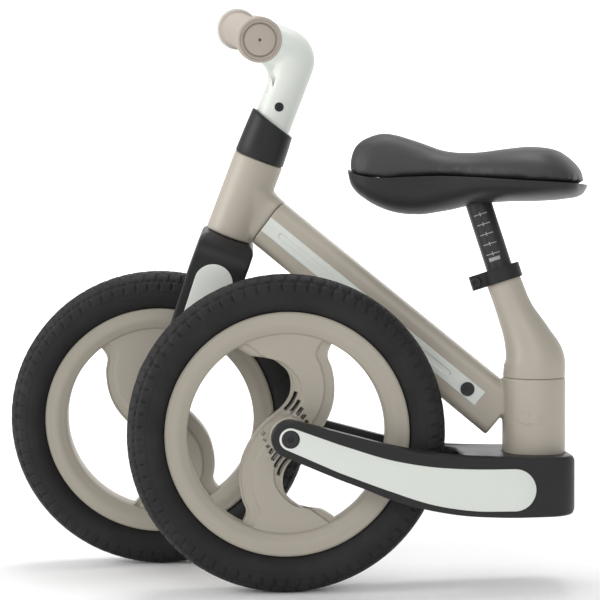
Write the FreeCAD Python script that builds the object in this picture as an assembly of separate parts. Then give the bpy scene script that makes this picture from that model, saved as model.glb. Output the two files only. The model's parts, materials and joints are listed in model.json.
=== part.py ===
import FreeCAD
import Part
import math
import os

# Folding balance bike for a small child, 12 inch wheels.
# Millimetres. Origin on the ground below the front axle, +X to the rear,
# +Y to the rider's right, +Z up. The model rests in its folded pose: the rear
# wheel and its fork are swung forward on the left, beside the front wheel.

V = FreeCAD.Vector

# ---- wheels (front and rear are alike) --------------------------------------
TYRE_RADIUS = 150.0
TYRE_HALF_WIDTH = 21.0
TREAD_HALF_WIDTH = 9.0
RIM_RADIUS = 115.0
RIM_HALF_WIDTH = 15.0
RIM_FLANGE = 3.5
RIM_FLANGE_HEIGHT = 5.0
RIM_FACE = 13.0
RIM_HOLE_RADIUS = 94.0
RIM_HOLE_HALF_WIDTH = 9.0
SPOKE_HALF_THICKNESS = 8.0
HUB_RADIUS = 18.0
HUB_HALF_LENGTH = 31.4
BEARING_OUTER_RADIUS = 11.0
BEARING_WIDTH = 7.0
BEARING_RECESS = 0.4
BEARING_RACE = 1.8
SHIELD_DEPTH = 0.4
AXLE_RADIUS = 4.0
AXLE_CLEARANCE = 0.05
HUB_SPACER_RADIUS = 6.0
SLOT_WIDTH = 2.8
SLOT_PITCH = 5.6
SLOT_COUNT = 4
FRONT_WHEEL_TURN = 10.5

# ---- both forks ------------------------------------------------------------
FORK_INNER_HALF_WIDTH = 33.0
FORK_OUTER_HALF_WIDTH = 47.0
FORK_END_RADIUS = 17.5
FORK_CORNER_RADIUS = 25.0
INLAY_DEPTH = 2.0
INLAY_PROUD = 0.4
INLAY_GAP = 0.05
AXLE_BOLT_HEAD_RADIUS = 7.8
AXLE_BOLT_HEAD_HEIGHT = 3.0
AXLE_BOLT_SHANK_RADIUS = 2.5
AXLE_BOLT_SHANK_LENGTH = 16.0
HEX_SOCKET_RADIUS = 2.9
HEX_SOCKET_DEPTH = 2.0
WASHER_THICKNESS = 1.2

# ---- head tube and steering --------------------------------------------------
HEAD_ANGLE = 68.0
STEER_REST = 17.5
HEAD_TUBE_RADIUS = 25.0
HEAD_TUBE_START = 200.0
HEAD_TUBE_LENGTH = 81.6
HEADSET_RADIUS = 19.0
HEADSET_HEIGHT = 9.0
STEERER_RADIUS = 12.7
STEERER_CLEARANCE = 0.05
STEERING_GAP = 0.4
FRONT_CROWN_HEIGHT = 38.0
COLLAR_FRONT_HEIGHT = 45.0
COLLAR_REAR_HEIGHT = 31.0
COLLAR_TOP_RADIUS = 23.2
STEM_RADIUS = 19.2
STEM_SOCKET_DEPTH = 20.0
STEM_HEIGHT = 392.7
STEM_REACH = 66.5
STEM_TEE_RADIUS = 19.6
STEM_TEE_STRAIGHT = 45.0
STEM_TEE_HALF_WIDTH = 62.0
STEM_BOLT_HEIGHT = 337.0
STEM_BOLT_HEAD_RADIUS = 4.4
STEERER_TOP = 350.0
BAR_RADIUS = 11.0
BAR_WALL = 1.5
BAR_HALF_WIDTH = 200.0
BAR_BACK_SWEEP = 0.152
BAR_DROOP = 0.068
GRIP_RADIUS = 15.6
GRIP_FLANGE_RADIUS = 18.3
GRIP_FLANGE_WIDTH = 5.0
GRIP_RING_RADIUS = 19.8
GRIP_RING_WIDTH = 14.0
GRIP_DISC_RADIUS = 13.3
GRIP_END_WALL = 4.0
GRIP_VENT_RADIUS = 1.1
GRIP_GAP = 1.2

# ---- frame --------------------------------------------------------------------
BEAM_ANGLE = 38.4
BEAM_SEAM_X = 115.6
BEAM_SEAM_Z = 347.3
BEAM_LENGTH = 273.0
BEAM_DEPTH = 50.0
BEAM_WIDTH = 29.0
BEAM_CORNER = 10.0
BEAM_WALL = 3.0
SOCKET_EXTRA = 0.8
PANEL_WIDTH = 17.0
PANEL_THICKNESS = 2.5
PANEL_PROUD = 0.3
PANEL_START = 1.0
PANEL_END = 2.0
PANEL_GROOVE_START = 17.0
PANEL_GROOVE_END = 39.0
PANEL_GROOVE_WIDTH = 5.0
PANEL_GROOVE_DEPTH = 0.8
PANEL_BOLT_INSET = 15.0
PANEL_BOLT_RADIUS = 6.7
PANEL_BOLT_HEIGHT = 1.6

# ---- fold pivot -----------------------------------------------------------------
PIVOT_X = 377.5
FORK_LENGTH = 237.0
FOLD_REST = 160.0
KNUCKLE_RADIUS = 30.0
KNUCKLE_BOTTOM = 125.6
KNUCKLE_TOP = 200.5
CROWN_TOP = 129.0
CROWN_BOTTOM = 73.4
CROWN_REACH = 33.5
CROWN_INNER = 165.0
CROWN_RECESS_GAP = 0.6
THRUST_WASHER = 1.5
THRUST_GAP = 0.3
PIVOT_RADIUS = 12.0
PIVOT_CLEARANCE = 0.05
PIVOT_WALL = 7.5
PIVOT_TOP = 194.0
BUSH_RADIUS = 15.0
BUSH_LENGTH = 12.0
PIVOT_END_RECESS = 6.0
PIVOT_END_WASHER_RADIUS = 17.0
PIVOT_END_WASHER = 2.0
PIVOT_BOLT_HEAD_RADIUS = 8.0
PIVOT_BOLT_HEAD_HEIGHT = 3.0
PIVOT_BOLT_LENGTH = 22.0
LOCK_HEIGHT = 101.0
LOCK_RADIUS = 4.0
LOCK_CLEARANCE = 0.05
LOCK_BITE = 3.0
LOCK_GROOVE_CLEARANCE = 0.6
LOCK_LENGTH = 42.0
LOCK_TRAVEL = 4.0
LOCK_BUTTON_RADIUS = 8.0
LOCK_BUTTON_GAP = 0.4
LOCK_BUTTON_PROUD = 5.0
LOCK_BUTTON_DEPTH = 3.0
LOCK_SPRING_WIRE = 0.45
LOCK_SPRING_TURNS = 6
LOCK_SPRING_LENGTH = 14.0
LOCK_SPRING_GAP = 0.2

# ---- seat -----------------------------------------------------------------------
SEAT_ANGLE = 18.1
SEAT_LINE_X = 343.8
SEAT_LINE_Z = 305.6
SEAT_TUBE_TOP_RADIUS = 16.5
SEAT_TUBE_BASE_RADIUS = 29.4
SEAT_BORE_DEPTH = 84.0
# Seat tube sections: share of the rise, share of the lean, tilt and radius.
SEAT_TUBE_STATIONS = [
    (0.179, -0.014, 0.0, 28.6),
    (0.414, 0.227, 0.1, 22.6),
    (0.688, 0.626, 0.24, 17.6),
]
POST_RADIUS = 12.5
POST_CLEARANCE = 0.08
POST_WALL = 2.0
POST_INSERTED = 56.0
POST_TOP = 64.0
CLAMP_BOTTOM = -15.5
CLAMP_HEIGHT = 14.0
CLAMP_RADIUS = 19.0
CLAMP_EAR_REACH = 31.0
CLAMP_EAR_WIDTH = 13.0
CLAMP_SLIT = 2.4
CLAMP_BOLT_RADIUS = 2.5
CLAMP_BOLT_HEAD_RADIUS = 4.8
SADDLE_SEAM_GAP = 0.3
SADDLE_DEPTH = 20.0
SHELL_INSET = 1.2
SCREW_RADIUS = 3.0
SCREW_HEAD_RADIUS = 5.0
SCREW_HEAD_HEIGHT = 4.0
SCREW_SHANK_LENGTH = 8.0
SCREW_POCKET = 6.0
# Screws along the saddle's middle: distance back of the post top and height.
SADDLE_SCREWS = [(-62.0, -4.0), (-30.0, -1.0), (45.0, 0.5)]

# Right edge of the S-shaped blades, seen from the rider's left with the wheel
# turned to zero; the left edge is the same curve turned by half a turn.
BLADE_EDGE = [
    (60.0, 92.0), (46.3, 82.1), (32.8, 73.8), (16.9, 72.0), (6.4, 65.7),
    (-1.9, 56.8), (-4.5, 45.1), (-3.0, 35.7), (2.8, 26.3), (13.4, 16.9),
    (24.2, 7.5), (34.6, -6.6), (43.0, -25.4), (45.1, -43.0), (43.0, -60.6),
    (38.8, -74.2), (42.5, -84.0), (52.0, -93.0),
]
SLOT_CENTRE = (20.0, 46.0)
SLOT_FIRST_RADIUS = 28.0
SLOT_FIELD = [(-7.5, 44.0), (-21.0, 8.5), (-12.0, 2.0), (9.0, 13.0), (0.0, 28.0), (-4.0, 42.0)]

# Upper and lower edge of a fork arm: distance from the axle, height above it.
ARM_UPPER = [(45.0, 5.5), (91.6, -7.3), (119.8, -14.6), (144.1, -18.2), (170.0, -20.4), (200.0, -21.0)]
ARM_LOWER = [(45.4, -38.5), (70.0, -48.2), (91.3, -57.3), (122.6, -66.8), (153.5, -73.0), (200.0, -76.6)]
INLAY_UPPER = [(45.5, -5.8), (91.7, -20.4), (130.0, -27.6), (170.0, -30.6)]
INLAY_LOWER = [(45.4, -31.9), (91.6, -49.6), (130.0, -62.6), (170.0, -69.6)]
INLAY_FAR = 228.6
INLAY_MIDDLE = -50.9
INLAY_END_RADIUS = 19.8
INLAY_HUB_RADIUS = 10.4
# Half width of a front fork leg against distance from the axle.
LEG_HALF = [(45.0, 21.5), (91.0, 24.5), (125.0, 26.2), (160.0, 27.4)]
LEG_INLAY_HALF = [(45.0, 13.0), (91.0, 15.3), (125.0, 17.3), (160.0, 19.0)]
LEG_INLAY_FAR = 190.0

# Saddle stations from nose to tail: distance forward (-) or back (+) of the
# post top, half width, top, seam and underside heights above the seat line's
# upper end, and how square the plan is there.
SADDLE = [
    (-127.0, 15.0, 44.0, 33.0, 24.0),
    (-120.0, 27.0, 58.0, 30.0, 13.0),
    (-107.0, 35.0, 65.5, 26.0, 2.0),
    (-90.0, 38.0, 67.0, 24.0, -6.5),
    (-62.0, 38.0, 59.5, 24.5, -11.5),
    (-32.0, 40.0, 49.0, 25.0, -8.0),
    (0.0, 49.0, 47.0, 23.5, -1.5),
    (28.0, 60.0, 50.0, 21.5, 0.5),
    (56.0, 66.0, 51.5, 19.5, 0.8),
    (80.0, 62.0, 46.0, 18.0, 2.5),
    (95.0, 50.0, 34.0, 17.0, 5.5),
    (102.0, 33.0, 23.5, 16.5, 10.0),
]


# ---- frames of reference ------------------------------------------------------
# Small roundings, clearances and depths that the shapes share
CROWN_EDGE_ROUND = 6.0
FRONT_CROWN_EDGE_ROUND = 8.0
FORK_INNER_CORNER = FORK_CORNER_RADIUS * 0.7
INLAY_CUT_OUTWARD = 3.0
PIVOT_HOLE_CLEARANCE = 0.5
PIVOT_END_CLEARANCE = 1.0
THRUST_WASHER_MARGIN = 2.0
LOCK_STOP_ROOM = 1.0
LOCK_WAIST_LENGTH = 6.0
LOCK_WAIST_DEPTH = 1.2
LOCK_CAP_ROUND = 1.5
STEERER_WALL = 1.6
COLLAR_EDGE_ROUND = 1.6
GUSSET_RADIUS = 26.0
GUSSET_SINK = 6.0
GUSSET_HALF_THICKNESS = 9.0
GUSSET_HOLLOW_STEP = 5.5
STEM_BOLT_SINK = 3.0
STEM_BOLT_HEAD_HEIGHT = 3.2
STEM_BOLT_SHANK_RADIUS = 2.5
STEM_NUT_HEIGHT = 2.6
GRIP_FLANGE_ROUND = 1.6
GRIP_END_ROUND = 3.0
GRIP_GROOVE_START = 1.4
GRIP_GROOVE_INSET = 2.6
GRIP_GROOVE_DEPTH = 2.0
CLAMP_BOLT_REACH = 23.5
CLAMP_HEAD_HEIGHT = 3.0
PANEL_SHANK_RADIUS = 1.5
PAD_SIDE_POWER = 0.80
PAD_TOP_POWER = 0.72
SHELL_SIDE_POWER = 0.9
SHELL_BOTTOM_POWER = 0.75


def rad(a):
    return math.radians(a)


AXLE = V(0, 0, TYRE_RADIUS)
HEAD = V(math.cos(rad(HEAD_ANGLE)), 0, math.sin(rad(HEAD_ANGLE)))
ACROSS = V(math.sin(rad(HEAD_ANGLE)), 0, -math.cos(rad(HEAD_ANGLE)))
SIDE = V(0, 1, 0)
UP = V(0, 0, 1)
BACK = V(1, 0, 0)
REAR_AXLE = V(PIVOT_X + FORK_LENGTH, 0, TYRE_RADIUS)
SEAT = V(-math.sin(rad(SEAT_ANGLE)), 0, math.cos(rad(SEAT_ANGLE)))
SEAT_BASE = V(SEAT_LINE_X, 0, SEAT_LINE_Z)
BEAM = V(math.cos(rad(BEAM_ANGLE)), 0, -math.sin(rad(BEAM_ANGLE)))
BEAM_UP = V(math.sin(rad(BEAM_ANGLE)), 0, math.cos(rad(BEAM_ANGLE)))
BEAM_START = V(BEAM_SEAM_X, 0, BEAM_SEAM_Z)


def arc_inset(radius):
    """How far in from a square corner the middle of its quarter arc lies."""
    return radius * (1 - math.sqrt(0.5))


def placed(shape, origin, xdir, ydir):
    """Put a shape drawn in local X, Y, Z at an origin with the given axes."""
    z = xdir.cross(ydir)
    m = FreeCAD.Matrix(
        xdir.x, ydir.x, z.x, origin.x,
        xdir.y, ydir.y, z.y, origin.y,
        xdir.z, ydir.z, z.z, origin.z,
        0, 0, 0, 1)
    out = shape.copy()
    out.Placement = FreeCAD.Placement(m).multiply(out.Placement)
    return out


def steered(shape):
    """Turn a piece of the steering about the head tube's axis to its rest angle."""
    out = shape.copy()
    out.rotate(AXLE, HEAD, STEER_REST)
    return out


def folded(shape):
    """Swing a piece of the rear fork about the fold pivot to its rest angle."""
    out = shape.copy()
    out.rotate(V(PIVOT_X, 0, 0), UP, -FOLD_REST)
    return out


def cylinder(base, direction, radius, height):
    return Part.makeCylinder(radius, height, base, direction)


def ring(base, direction, outer, inner, height):
    return cylinder(base, direction, outer, height).cut(cylinder(base, direction, inner, height))


def prism(points, low, high):
    """Straight-sided outline in local X, Y extruded between two local heights."""
    vs = [V(p[0], p[1], low) for p in points]
    wire = Part.makePolygon(vs + [vs[0]])
    return Part.Face(wire).extrude(V(0, 0, high - low))


def edge_prism(edges, low, high):
    face = Part.Face(Part.Wire(edges))
    face.translate(V(0, 0, low))
    return face.extrude(V(0, 0, high - low))


def smooth(points):
    curve = Part.BSplineCurve()
    curve.interpolate([V(p[0], p[1], 0) for p in points])
    return curve.toShape()


def line(a, b):
    return Part.makeLine(V(a[0], a[1], 0), V(b[0], b[1], 0))


def arc(a, b, c):
    return Part.Arc(V(a[0], a[1], 0), V(b[0], b[1], 0), V(c[0], c[1], 0)).toShape()


def rounded_box(width, depth, length, corner):
    """Box along local Z with rounded long edges, centred on local X and Y."""
    box = Part.makeBox(width, depth, length, V(-width / 2, -depth / 2, 0))
    edges = [e for e in box.Edges if abs(e.BoundBox.ZLength - length) < 0.001]
    return box.makeFillet(corner, edges)


def hex_socket(base, direction, depth):
    """Six-sided key hole to cut from a bolt head, starting at its outer face."""
    helper = V(1, 0, 0) if abs(direction.x) < 0.9 else V(0, 0, 1)
    y = direction.cross(helper).normalize()
    x = y.cross(direction).normalize()
    pts = []
    for i in range(6):
        a = rad(60 * i)
        pts.append((HEX_SOCKET_RADIUS * math.cos(a), HEX_SOCKET_RADIUS * math.sin(a)))
    return placed(prism(pts, -depth, 0.5), base, x, y)


def button_bolt(face, outward, head_radius, head_height, shank_radius, shank_length):
    """Low-head bolt whose head stands on a face and whose shank goes inward."""
    head = cylinder(face, outward, head_radius, head_height)
    rims = [e for e in head.Edges if e.Curve.TypeId == "Part::GeomCircle"]
    top = face + outward * head_height
    rim = [e for e in rims if (e.Curve.Center - top).Length < 0.01]
    head = head.makeFillet(min(1.0, head_height * 0.4), rim)
    shank = cylinder(face - outward * shank_length, outward, shank_radius, shank_length)
    bolt = head.fuse(shank)
    return bolt.cut(hex_socket(top, outward, min(HEX_SOCKET_DEPTH, head_height * 0.8)))


# ---- wheels ------------------------------------------------------------------------
def tyre_solid():
    """Solid foam tyre seated between the rim's flanges."""
    inner = RIM_RADIUS - RIM_FLANGE_HEIGHT
    bead = RIM_HALF_WIDTH - RIM_FLANGE
    shoulder = TYRE_RADIUS - 3.0
    middle = (TYRE_RADIUS + RIM_RADIUS) / 2
    right = [(RIM_RADIUS, bead), (RIM_RADIUS + 2.0, bead + 3.0), (RIM_RADIUS + 7.0, TYRE_HALF_WIDTH - 2.0),
             (middle, TYRE_HALF_WIDTH), (TYRE_RADIUS - 8.0, TYRE_HALF_WIDTH - 2.5),
             (shoulder, (TYRE_HALF_WIDTH + TREAD_HALF_WIDTH) / 2), (TYRE_RADIUS, TREAD_HALF_WIDTH)]
    left = [(r, -z) for r, z in reversed(right)]
    edges = [
        line((inner, -bead), (inner, bead)),
        line((inner, bead), right[0]),
        smooth(right),
        line(right[-1], left[0]),
        smooth(left),
        line(left[-1], (inner, -bead)),
    ]
    face = Part.Face(Part.Wire(edges))
    face.rotate(V(0, 0, 0), V(1, 0, 0), 90)
    return face.revolve(V(0, 0, 0), V(0, 0, 1), 360)


def blade_window(turn):
    """Opening beside the S-shaped blades, from their edge out past the rim."""
    far = RIM_RADIUS + 20.0
    first = BLADE_EDGE[0]
    last = BLADE_EDGE[-1]
    edges = [
        smooth(BLADE_EDGE),
        line(last, (far, last[1])),
        line((far, last[1]), (far, first[1])),
        line((far, first[1]), first),
    ]
    window = edge_prism(edges, -RIM_HALF_WIDTH * 2, RIM_HALF_WIDTH * 2)
    window.rotate(V(0, 0, 0), V(0, 0, 1), turn)
    return window


def slot_set(turn):
    """Curved slots beside the hub, concentric with the bend of the blade's edge."""
    field = prism(SLOT_FIELD, -RIM_HALF_WIDTH, RIM_HALF_WIDTH)
    centre = V(SLOT_CENTRE[0], SLOT_CENTRE[1], -RIM_HALF_WIDTH)
    slots = []
    for i in range(SLOT_COUNT):
        inner = SLOT_FIRST_RADIUS + i * SLOT_PITCH
        slots.append(ring(centre, UP, inner + SLOT_WIDTH, inner, 2 * RIM_HALF_WIDTH).common(field))
    out = Part.makeCompound(slots)
    out.rotate(V(0, 0, 0), V(0, 0, 1), turn)
    return out


def wheel_solid():
    """Rim, two S-shaped blades and hub shell in one moulding, on local Z."""
    seat = RIM_RADIUS - RIM_FLANGE_HEIGHT
    bead = RIM_HALF_WIDTH - RIM_FLANGE
    face_in = RIM_RADIUS - RIM_FACE
    half = [(RIM_HOLE_RADIUS, RIM_HOLE_HALF_WIDTH), (face_in, RIM_HALF_WIDTH),
            (RIM_RADIUS, RIM_HALF_WIDTH), (RIM_RADIUS, bead), (seat, bead)]
    outline = half + [(r, -z) for r, z in reversed(half)]
    pts = [V(r, 0, z) for r, z in outline]
    rim = Part.Face(Part.makePolygon(pts + [pts[0]])).revolve(V(0, 0, 0), V(0, 0, 1), 360)
    thick = SPOKE_HALF_THICKNESS
    plate = cylinder(V(0, 0, -thick), UP, RIM_HOLE_RADIUS + 3.0, 2 * thick)
    for turn in (0, 180):
        plate = plate.cut(blade_window(turn))
        plate = plate.cut(slot_set(turn))
    hub = cylinder(V(0, 0, -HUB_HALF_LENGTH), UP, HUB_RADIUS, 2 * HUB_HALF_LENGTH)
    wheel = rim.fuse([plate, hub]).removeSplitter()
    seat_depth = BEARING_WIDTH + BEARING_RECESS
    bore = cylinder(V(0, 0, -HUB_HALF_LENGTH), UP, BEARING_OUTER_RADIUS - 2.0, 2 * HUB_HALF_LENGTH)
    low = cylinder(V(0, 0, -HUB_HALF_LENGTH), UP, BEARING_OUTER_RADIUS, seat_depth)
    high = cylinder(V(0, 0, HUB_HALF_LENGTH - seat_depth), UP, BEARING_OUTER_RADIUS, seat_depth)
    return wheel.cut(bore.fuse([low, high]))


def bearing_pair():
    inner = AXLE_RADIUS + AXLE_CLEARANCE
    start = HUB_HALF_LENGTH - BEARING_RECESS - BEARING_WIDTH
    high = ring(V(0, 0, start), UP, BEARING_OUTER_RADIUS, inner, BEARING_WIDTH)
    low = ring(V(0, 0, -start - BEARING_WIDTH), UP, BEARING_OUTER_RADIUS, inner, BEARING_WIDTH)
    outer = BEARING_OUTER_RADIUS - BEARING_RACE
    dish = V(0, 0, start + BEARING_WIDTH - SHIELD_DEPTH)
    high = high.cut(ring(dish, UP, outer, inner + BEARING_RACE, SHIELD_DEPTH))
    dish = V(0, 0, -start - BEARING_WIDTH)
    low = low.cut(ring(dish, UP, outer, inner + BEARING_RACE, SHIELD_DEPTH))
    return Part.makeCompound([high, low])


def hub_spacer():
    half = HUB_HALF_LENGTH - BEARING_RECESS - BEARING_WIDTH
    return ring(V(0, 0, -half), UP, HUB_SPACER_RADIUS, AXLE_RADIUS + AXLE_CLEARANCE, 2 * half)


def on_axle(shape, centre, turn):
    """Move a wheel piece from local Z to an axle across the bike, then spin it."""
    out = placed(shape, centre, BACK, UP)
    out.rotate(centre, V(0, -1, 0), turn)
    return out


def axle_set(centre):
    """Axle tube between the fork arms, a bolt in each end and two spacer washers."""
    recess = FORK_OUTER_HALF_WIDTH - INLAY_DEPTH
    start = centre - SIDE * recess
    axle = cylinder(start, SIDE, AXLE_RADIUS, 2 * recess)
    bolts = []
    washers = []
    for s in (-1, 1):
        outward = SIDE * s
        face = centre + outward * recess
        hole = cylinder(face - outward * AXLE_BOLT_SHANK_LENGTH, outward, AXLE_BOLT_SHANK_RADIUS,
                        AXLE_BOLT_SHANK_LENGTH)
        axle = axle.cut(hole)
        bolts.append(button_bolt(face, outward, AXLE_BOLT_HEAD_RADIUS, AXLE_BOLT_HEAD_HEIGHT,
                                 AXLE_BOLT_SHANK_RADIUS, AXLE_BOLT_SHANK_LENGTH))
        inner = centre + outward * (FORK_INNER_HALF_WIDTH - WASHER_THICKNESS)
        washers.append(ring(inner, outward, HUB_SPACER_RADIUS, AXLE_RADIUS, WASHER_THICKNESS))
    return axle, Part.makeCompound(bolts), Part.makeCompound(washers)


# ---- forks ---------------------------------------------------------------------------
def tangent_end(radius, upper, lower):
    """Points where straight edges from the arm meet the rounded axle end."""
    pts = []
    for p, s in ((upper, 1), (lower, -1)):
        d = math.hypot(p[0], p[1])
        base = math.atan2(p[1], p[0])
        a = base + s * math.acos(radius / d)
        pts.append((radius * math.cos(a), radius * math.sin(a)))
    return pts


def arm_outline(upper, lower, radius, end_edges):
    """Closed outline of an arm: round axle end, two smooth edges, given far end."""
    top, bottom = tangent_end(radius, upper[0], lower[0])
    edges = [
        arc(bottom, (-radius, 0), top),
        line(top, upper[0]),
        smooth(upper),
    ]
    edges += end_edges
    edges += [
        smooth(list(reversed(lower))),
        line(lower[0], bottom),
    ]
    return edges


def rear_arm_block():
    """Side outline of the rear fork extruded across its full width."""
    far = FORK_LENGTH + CROWN_REACH
    top = CROWN_TOP - TYRE_RADIUS
    bottom = CROWN_BOTTOM - TYRE_RADIUS
    upper = ARM_UPPER[:-1] + [(ARM_UPPER[-1][0], top)]
    lower = ARM_LOWER[:-1] + [(ARM_LOWER[-1][0], bottom)]
    r = CROWN_EDGE_ROUND
    k = arc_inset(r)
    ends = [
        line(upper[-1], (far - r, top)),
        arc((far - r, top), (far - k, top - k), (far, top - r)),
        line((far, top - r), (far, bottom + r)),
        arc((far, bottom + r), (far - k, bottom + k), (far - r, bottom)),
        line((far - r, bottom), lower[-1]),
    ]
    edges = arm_outline(upper, lower, FORK_END_RADIUS, ends)
    block = edge_prism(edges, -FORK_OUTER_HALF_WIDTH, FORK_OUTER_HALF_WIDTH)
    return placed(block, REAR_AXLE, BACK * -1, UP)


def rear_plan():
    """Plan of the rear fork: a U that opens at the axle, rounded at the crown."""
    r = FORK_CORNER_RADIUS
    k = arc_inset(r)
    w = FORK_OUTER_HALF_WIDTH
    far = FORK_LENGTH + CROWN_REACH
    near = -FORK_END_RADIUS * 2
    low = CROWN_BOTTOM - 10.0
    high = TYRE_RADIUS + 2 * FORK_END_RADIUS
    outer = edge_prism([
        line((near, -w), (far - r, -w)),
        arc((far - r, -w), (far - k, -w + k), (far, -w + r)),
        line((far, -w + r), (far, w - r)),
        arc((far, w - r), (far - k, w - k), (far - r, w)),
        line((far - r, w), (near, w)),
        line((near, w), (near, -w)),
    ], low, high)
    v = FORK_INNER_HALF_WIDTH
    q = FORK_INNER_CORNER
    j = arc_inset(q)
    inner = edge_prism([
        line((near, -v), (CROWN_INNER - q, -v)),
        arc((CROWN_INNER - q, -v), (CROWN_INNER - j, -v + j), (CROWN_INNER, -v + q)),
        line((CROWN_INNER, -v + q), (CROWN_INNER, v - q)),
        arc((CROWN_INNER, v - q), (CROWN_INNER - j, v - j), (CROWN_INNER - q, v)),
        line((CROWN_INNER - q, v), (near, v)),
        line((near, v), (near, -v)),
    ], low, high)
    origin = V(REAR_AXLE.x, 0, 0)
    return placed(outer.cut(inner), origin, BACK * -1, SIDE * -1)


def inlay_outline(grow):
    """Tongue-shaped inlay of the rear arm, widening from the bolt to the crown."""
    upper = [(x, y + grow) for x, y in INLAY_UPPER]
    lower = [(x, y - grow) for x, y in INLAY_LOWER]
    r = INLAY_END_RADIUS + grow
    cx = INLAY_FAR - INLAY_END_RADIUS
    cy = INLAY_MIDDLE
    ends = [
        line(upper[-1], (cx, cy + r)),
        arc((cx, cy + r), (cx + r, cy), (cx, cy - r)),
        line((cx, cy - r), lower[-1]),
    ]
    return arm_outline(upper, lower, INLAY_HUB_RADIUS + grow, ends)


def rear_inlay(side, grow, depth, proud):
    """Inlay for one rear arm; side is -1 for the rider's left, +1 for the right."""
    low = FORK_OUTER_HALF_WIDTH - depth
    high = FORK_OUTER_HALF_WIDTH + proud
    if side > 0:
        block = edge_prism(inlay_outline(grow), low, high)
    else:
        block = edge_prism(inlay_outline(grow), -high, -low)
    return placed(block, REAR_AXLE, BACK * -1, UP)


def bolt_clearance(centre):
    start = centre - SIDE * (FORK_OUTER_HALF_WIDTH + 5.0)
    return cylinder(start, SIDE, AXLE_BOLT_HEAD_RADIUS + 0.3, 2 * (FORK_OUTER_HALF_WIDTH + 5.0))


def lock_line():
    """Start of the lock's axis at the crown's end face, and its inward direction."""
    offset = PIVOT_RADIUS - LOCK_BITE + LOCK_RADIUS
    start = V(PIVOT_X - CROWN_REACH, -offset, LOCK_HEIGHT)
    return start, V(1, 0, 0)


def rear_fork():
    """Rear fork: crown with the fold bearing and two arms that hold the axle."""
    fork = rear_arm_block().common(rear_plan())
    pivot = V(PIVOT_X, 0, 0)
    recess_floor = KNUCKLE_BOTTOM - THRUST_GAP - THRUST_WASHER
    cuts = [
        cylinder(pivot + UP * recess_floor, UP, KNUCKLE_RADIUS + CROWN_RECESS_GAP, 30.0),
        cylinder(pivot + UP * (recess_floor - BUSH_LENGTH), UP, BUSH_RADIUS, BUSH_LENGTH),
        cylinder(pivot, UP, PIVOT_RADIUS + PIVOT_HOLE_CLEARANCE, recess_floor),
        cylinder(pivot + UP * (CROWN_BOTTOM + PIVOT_END_RECESS), UP, BUSH_RADIUS, BUSH_LENGTH),
        cylinder(pivot, UP, PIVOT_END_WASHER_RADIUS + PIVOT_END_CLEARANCE,
                 CROWN_BOTTOM + PIVOT_END_RECESS + THRUST_GAP),
        cylinder(REAR_AXLE - SIDE * 60, SIDE, AXLE_RADIUS, 120),
    ]
    start, inward = lock_line()
    cuts.append(cylinder(start - inward * 5, inward, LOCK_RADIUS + LOCK_CLEARANCE,
                         LOCK_LENGTH + LOCK_SPRING_LENGTH + 5))
    pocket = LOCK_BUTTON_DEPTH + LOCK_TRAVEL + LOCK_STOP_ROOM
    cuts.append(cylinder(start - inward * 5, inward, LOCK_BUTTON_RADIUS + LOCK_BUTTON_GAP, pocket + 5))
    for side in (-1, 1):
        cuts.append(rear_inlay(side, INLAY_GAP, INLAY_DEPTH, INLAY_CUT_OUTWARD))
    return folded(fork.cut(Part.makeCompound(cuts[:1]).fuse(cuts[1:])))


def leg_outline(half, radius, far, grow):
    upper = [(t, h + grow) for t, h in half]
    lower = [(t, -h - grow) for t, h in half]
    last = half[-1][1] + grow
    ends = far(last)
    return arm_outline(upper, lower, radius + grow, ends)


def front_fork():
    """Front fork: crown under the head tube and two legs that hold the axle."""
    top = HEAD_TUBE_START - STEERING_GAP

    def far(last):
        r = FRONT_CROWN_EDGE_ROUND
        k = arc_inset(r)
        start = LEG_HALF[-1][0]
        return [
            line((start, last), (top - r, last)),
            arc((top - r, last), (top - k, last - k), (top, last - r)),
            line((top, last - r), (top, -last + r)),
            arc((top, -last + r), (top - k, -last + k), (top - r, -last)),
            line((top - r, -last), (start, -last)),
        ]

    block = edge_prism(leg_outline(LEG_HALF, FORK_END_RADIUS, far, 0.0),
                       -FORK_OUTER_HALF_WIDTH, FORK_OUTER_HALF_WIDTH)
    block = placed(block, AXLE, HEAD, ACROSS * -1)
    w = FORK_OUTER_HALF_WIDTH
    v = FORK_INNER_HALF_WIDTH
    r = FORK_CORNER_RADIUS
    k = arc_inset(r)
    q = FORK_INNER_CORNER
    j = arc_inset(q)
    near = -FORK_END_RADIUS * 2
    inside = top - FRONT_CROWN_HEIGHT
    outer = edge_prism([
        line((near, -w), (top - r, -w)),
        arc((top - r, -w), (top - k, -w + k), (top, -w + r)),
        line((top, -w + r), (top, w - r)),
        arc((top, w - r), (top - k, w - k), (top - r, w)),
        line((top - r, w), (near, w)),
        line((near, w), (near, -w)),
    ], -60, 60)
    inner = edge_prism([
        line((near, -v), (inside - q, -v)),
        arc((inside - q, -v), (inside - j, -v + j), (inside, -v + q)),
        line((inside, -v + q), (inside, v - q)),
        arc((inside, v - q), (inside - j, v - j), (inside - q, v)),
        line((inside - q, v), (near, v)),
        line((near, v), (near, -v)),
    ], -60, 60)
    plan = placed(outer.cut(inner), AXLE, HEAD, SIDE)
    fork = block.common(plan)
    cuts = [
        cylinder(AXLE - SIDE * 60, SIDE, AXLE_RADIUS, 120),
        cylinder(AXLE + HEAD * (inside - 5), HEAD, STEERER_RADIUS, FRONT_CROWN_HEIGHT + 10),
        front_inlay(-1, INLAY_GAP, INLAY_DEPTH, INLAY_CUT_OUTWARD),
        front_inlay(1, INLAY_GAP, INLAY_DEPTH, INLAY_CUT_OUTWARD),
    ]
    return fork.cut(cuts[0].fuse(cuts[1:]))


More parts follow.
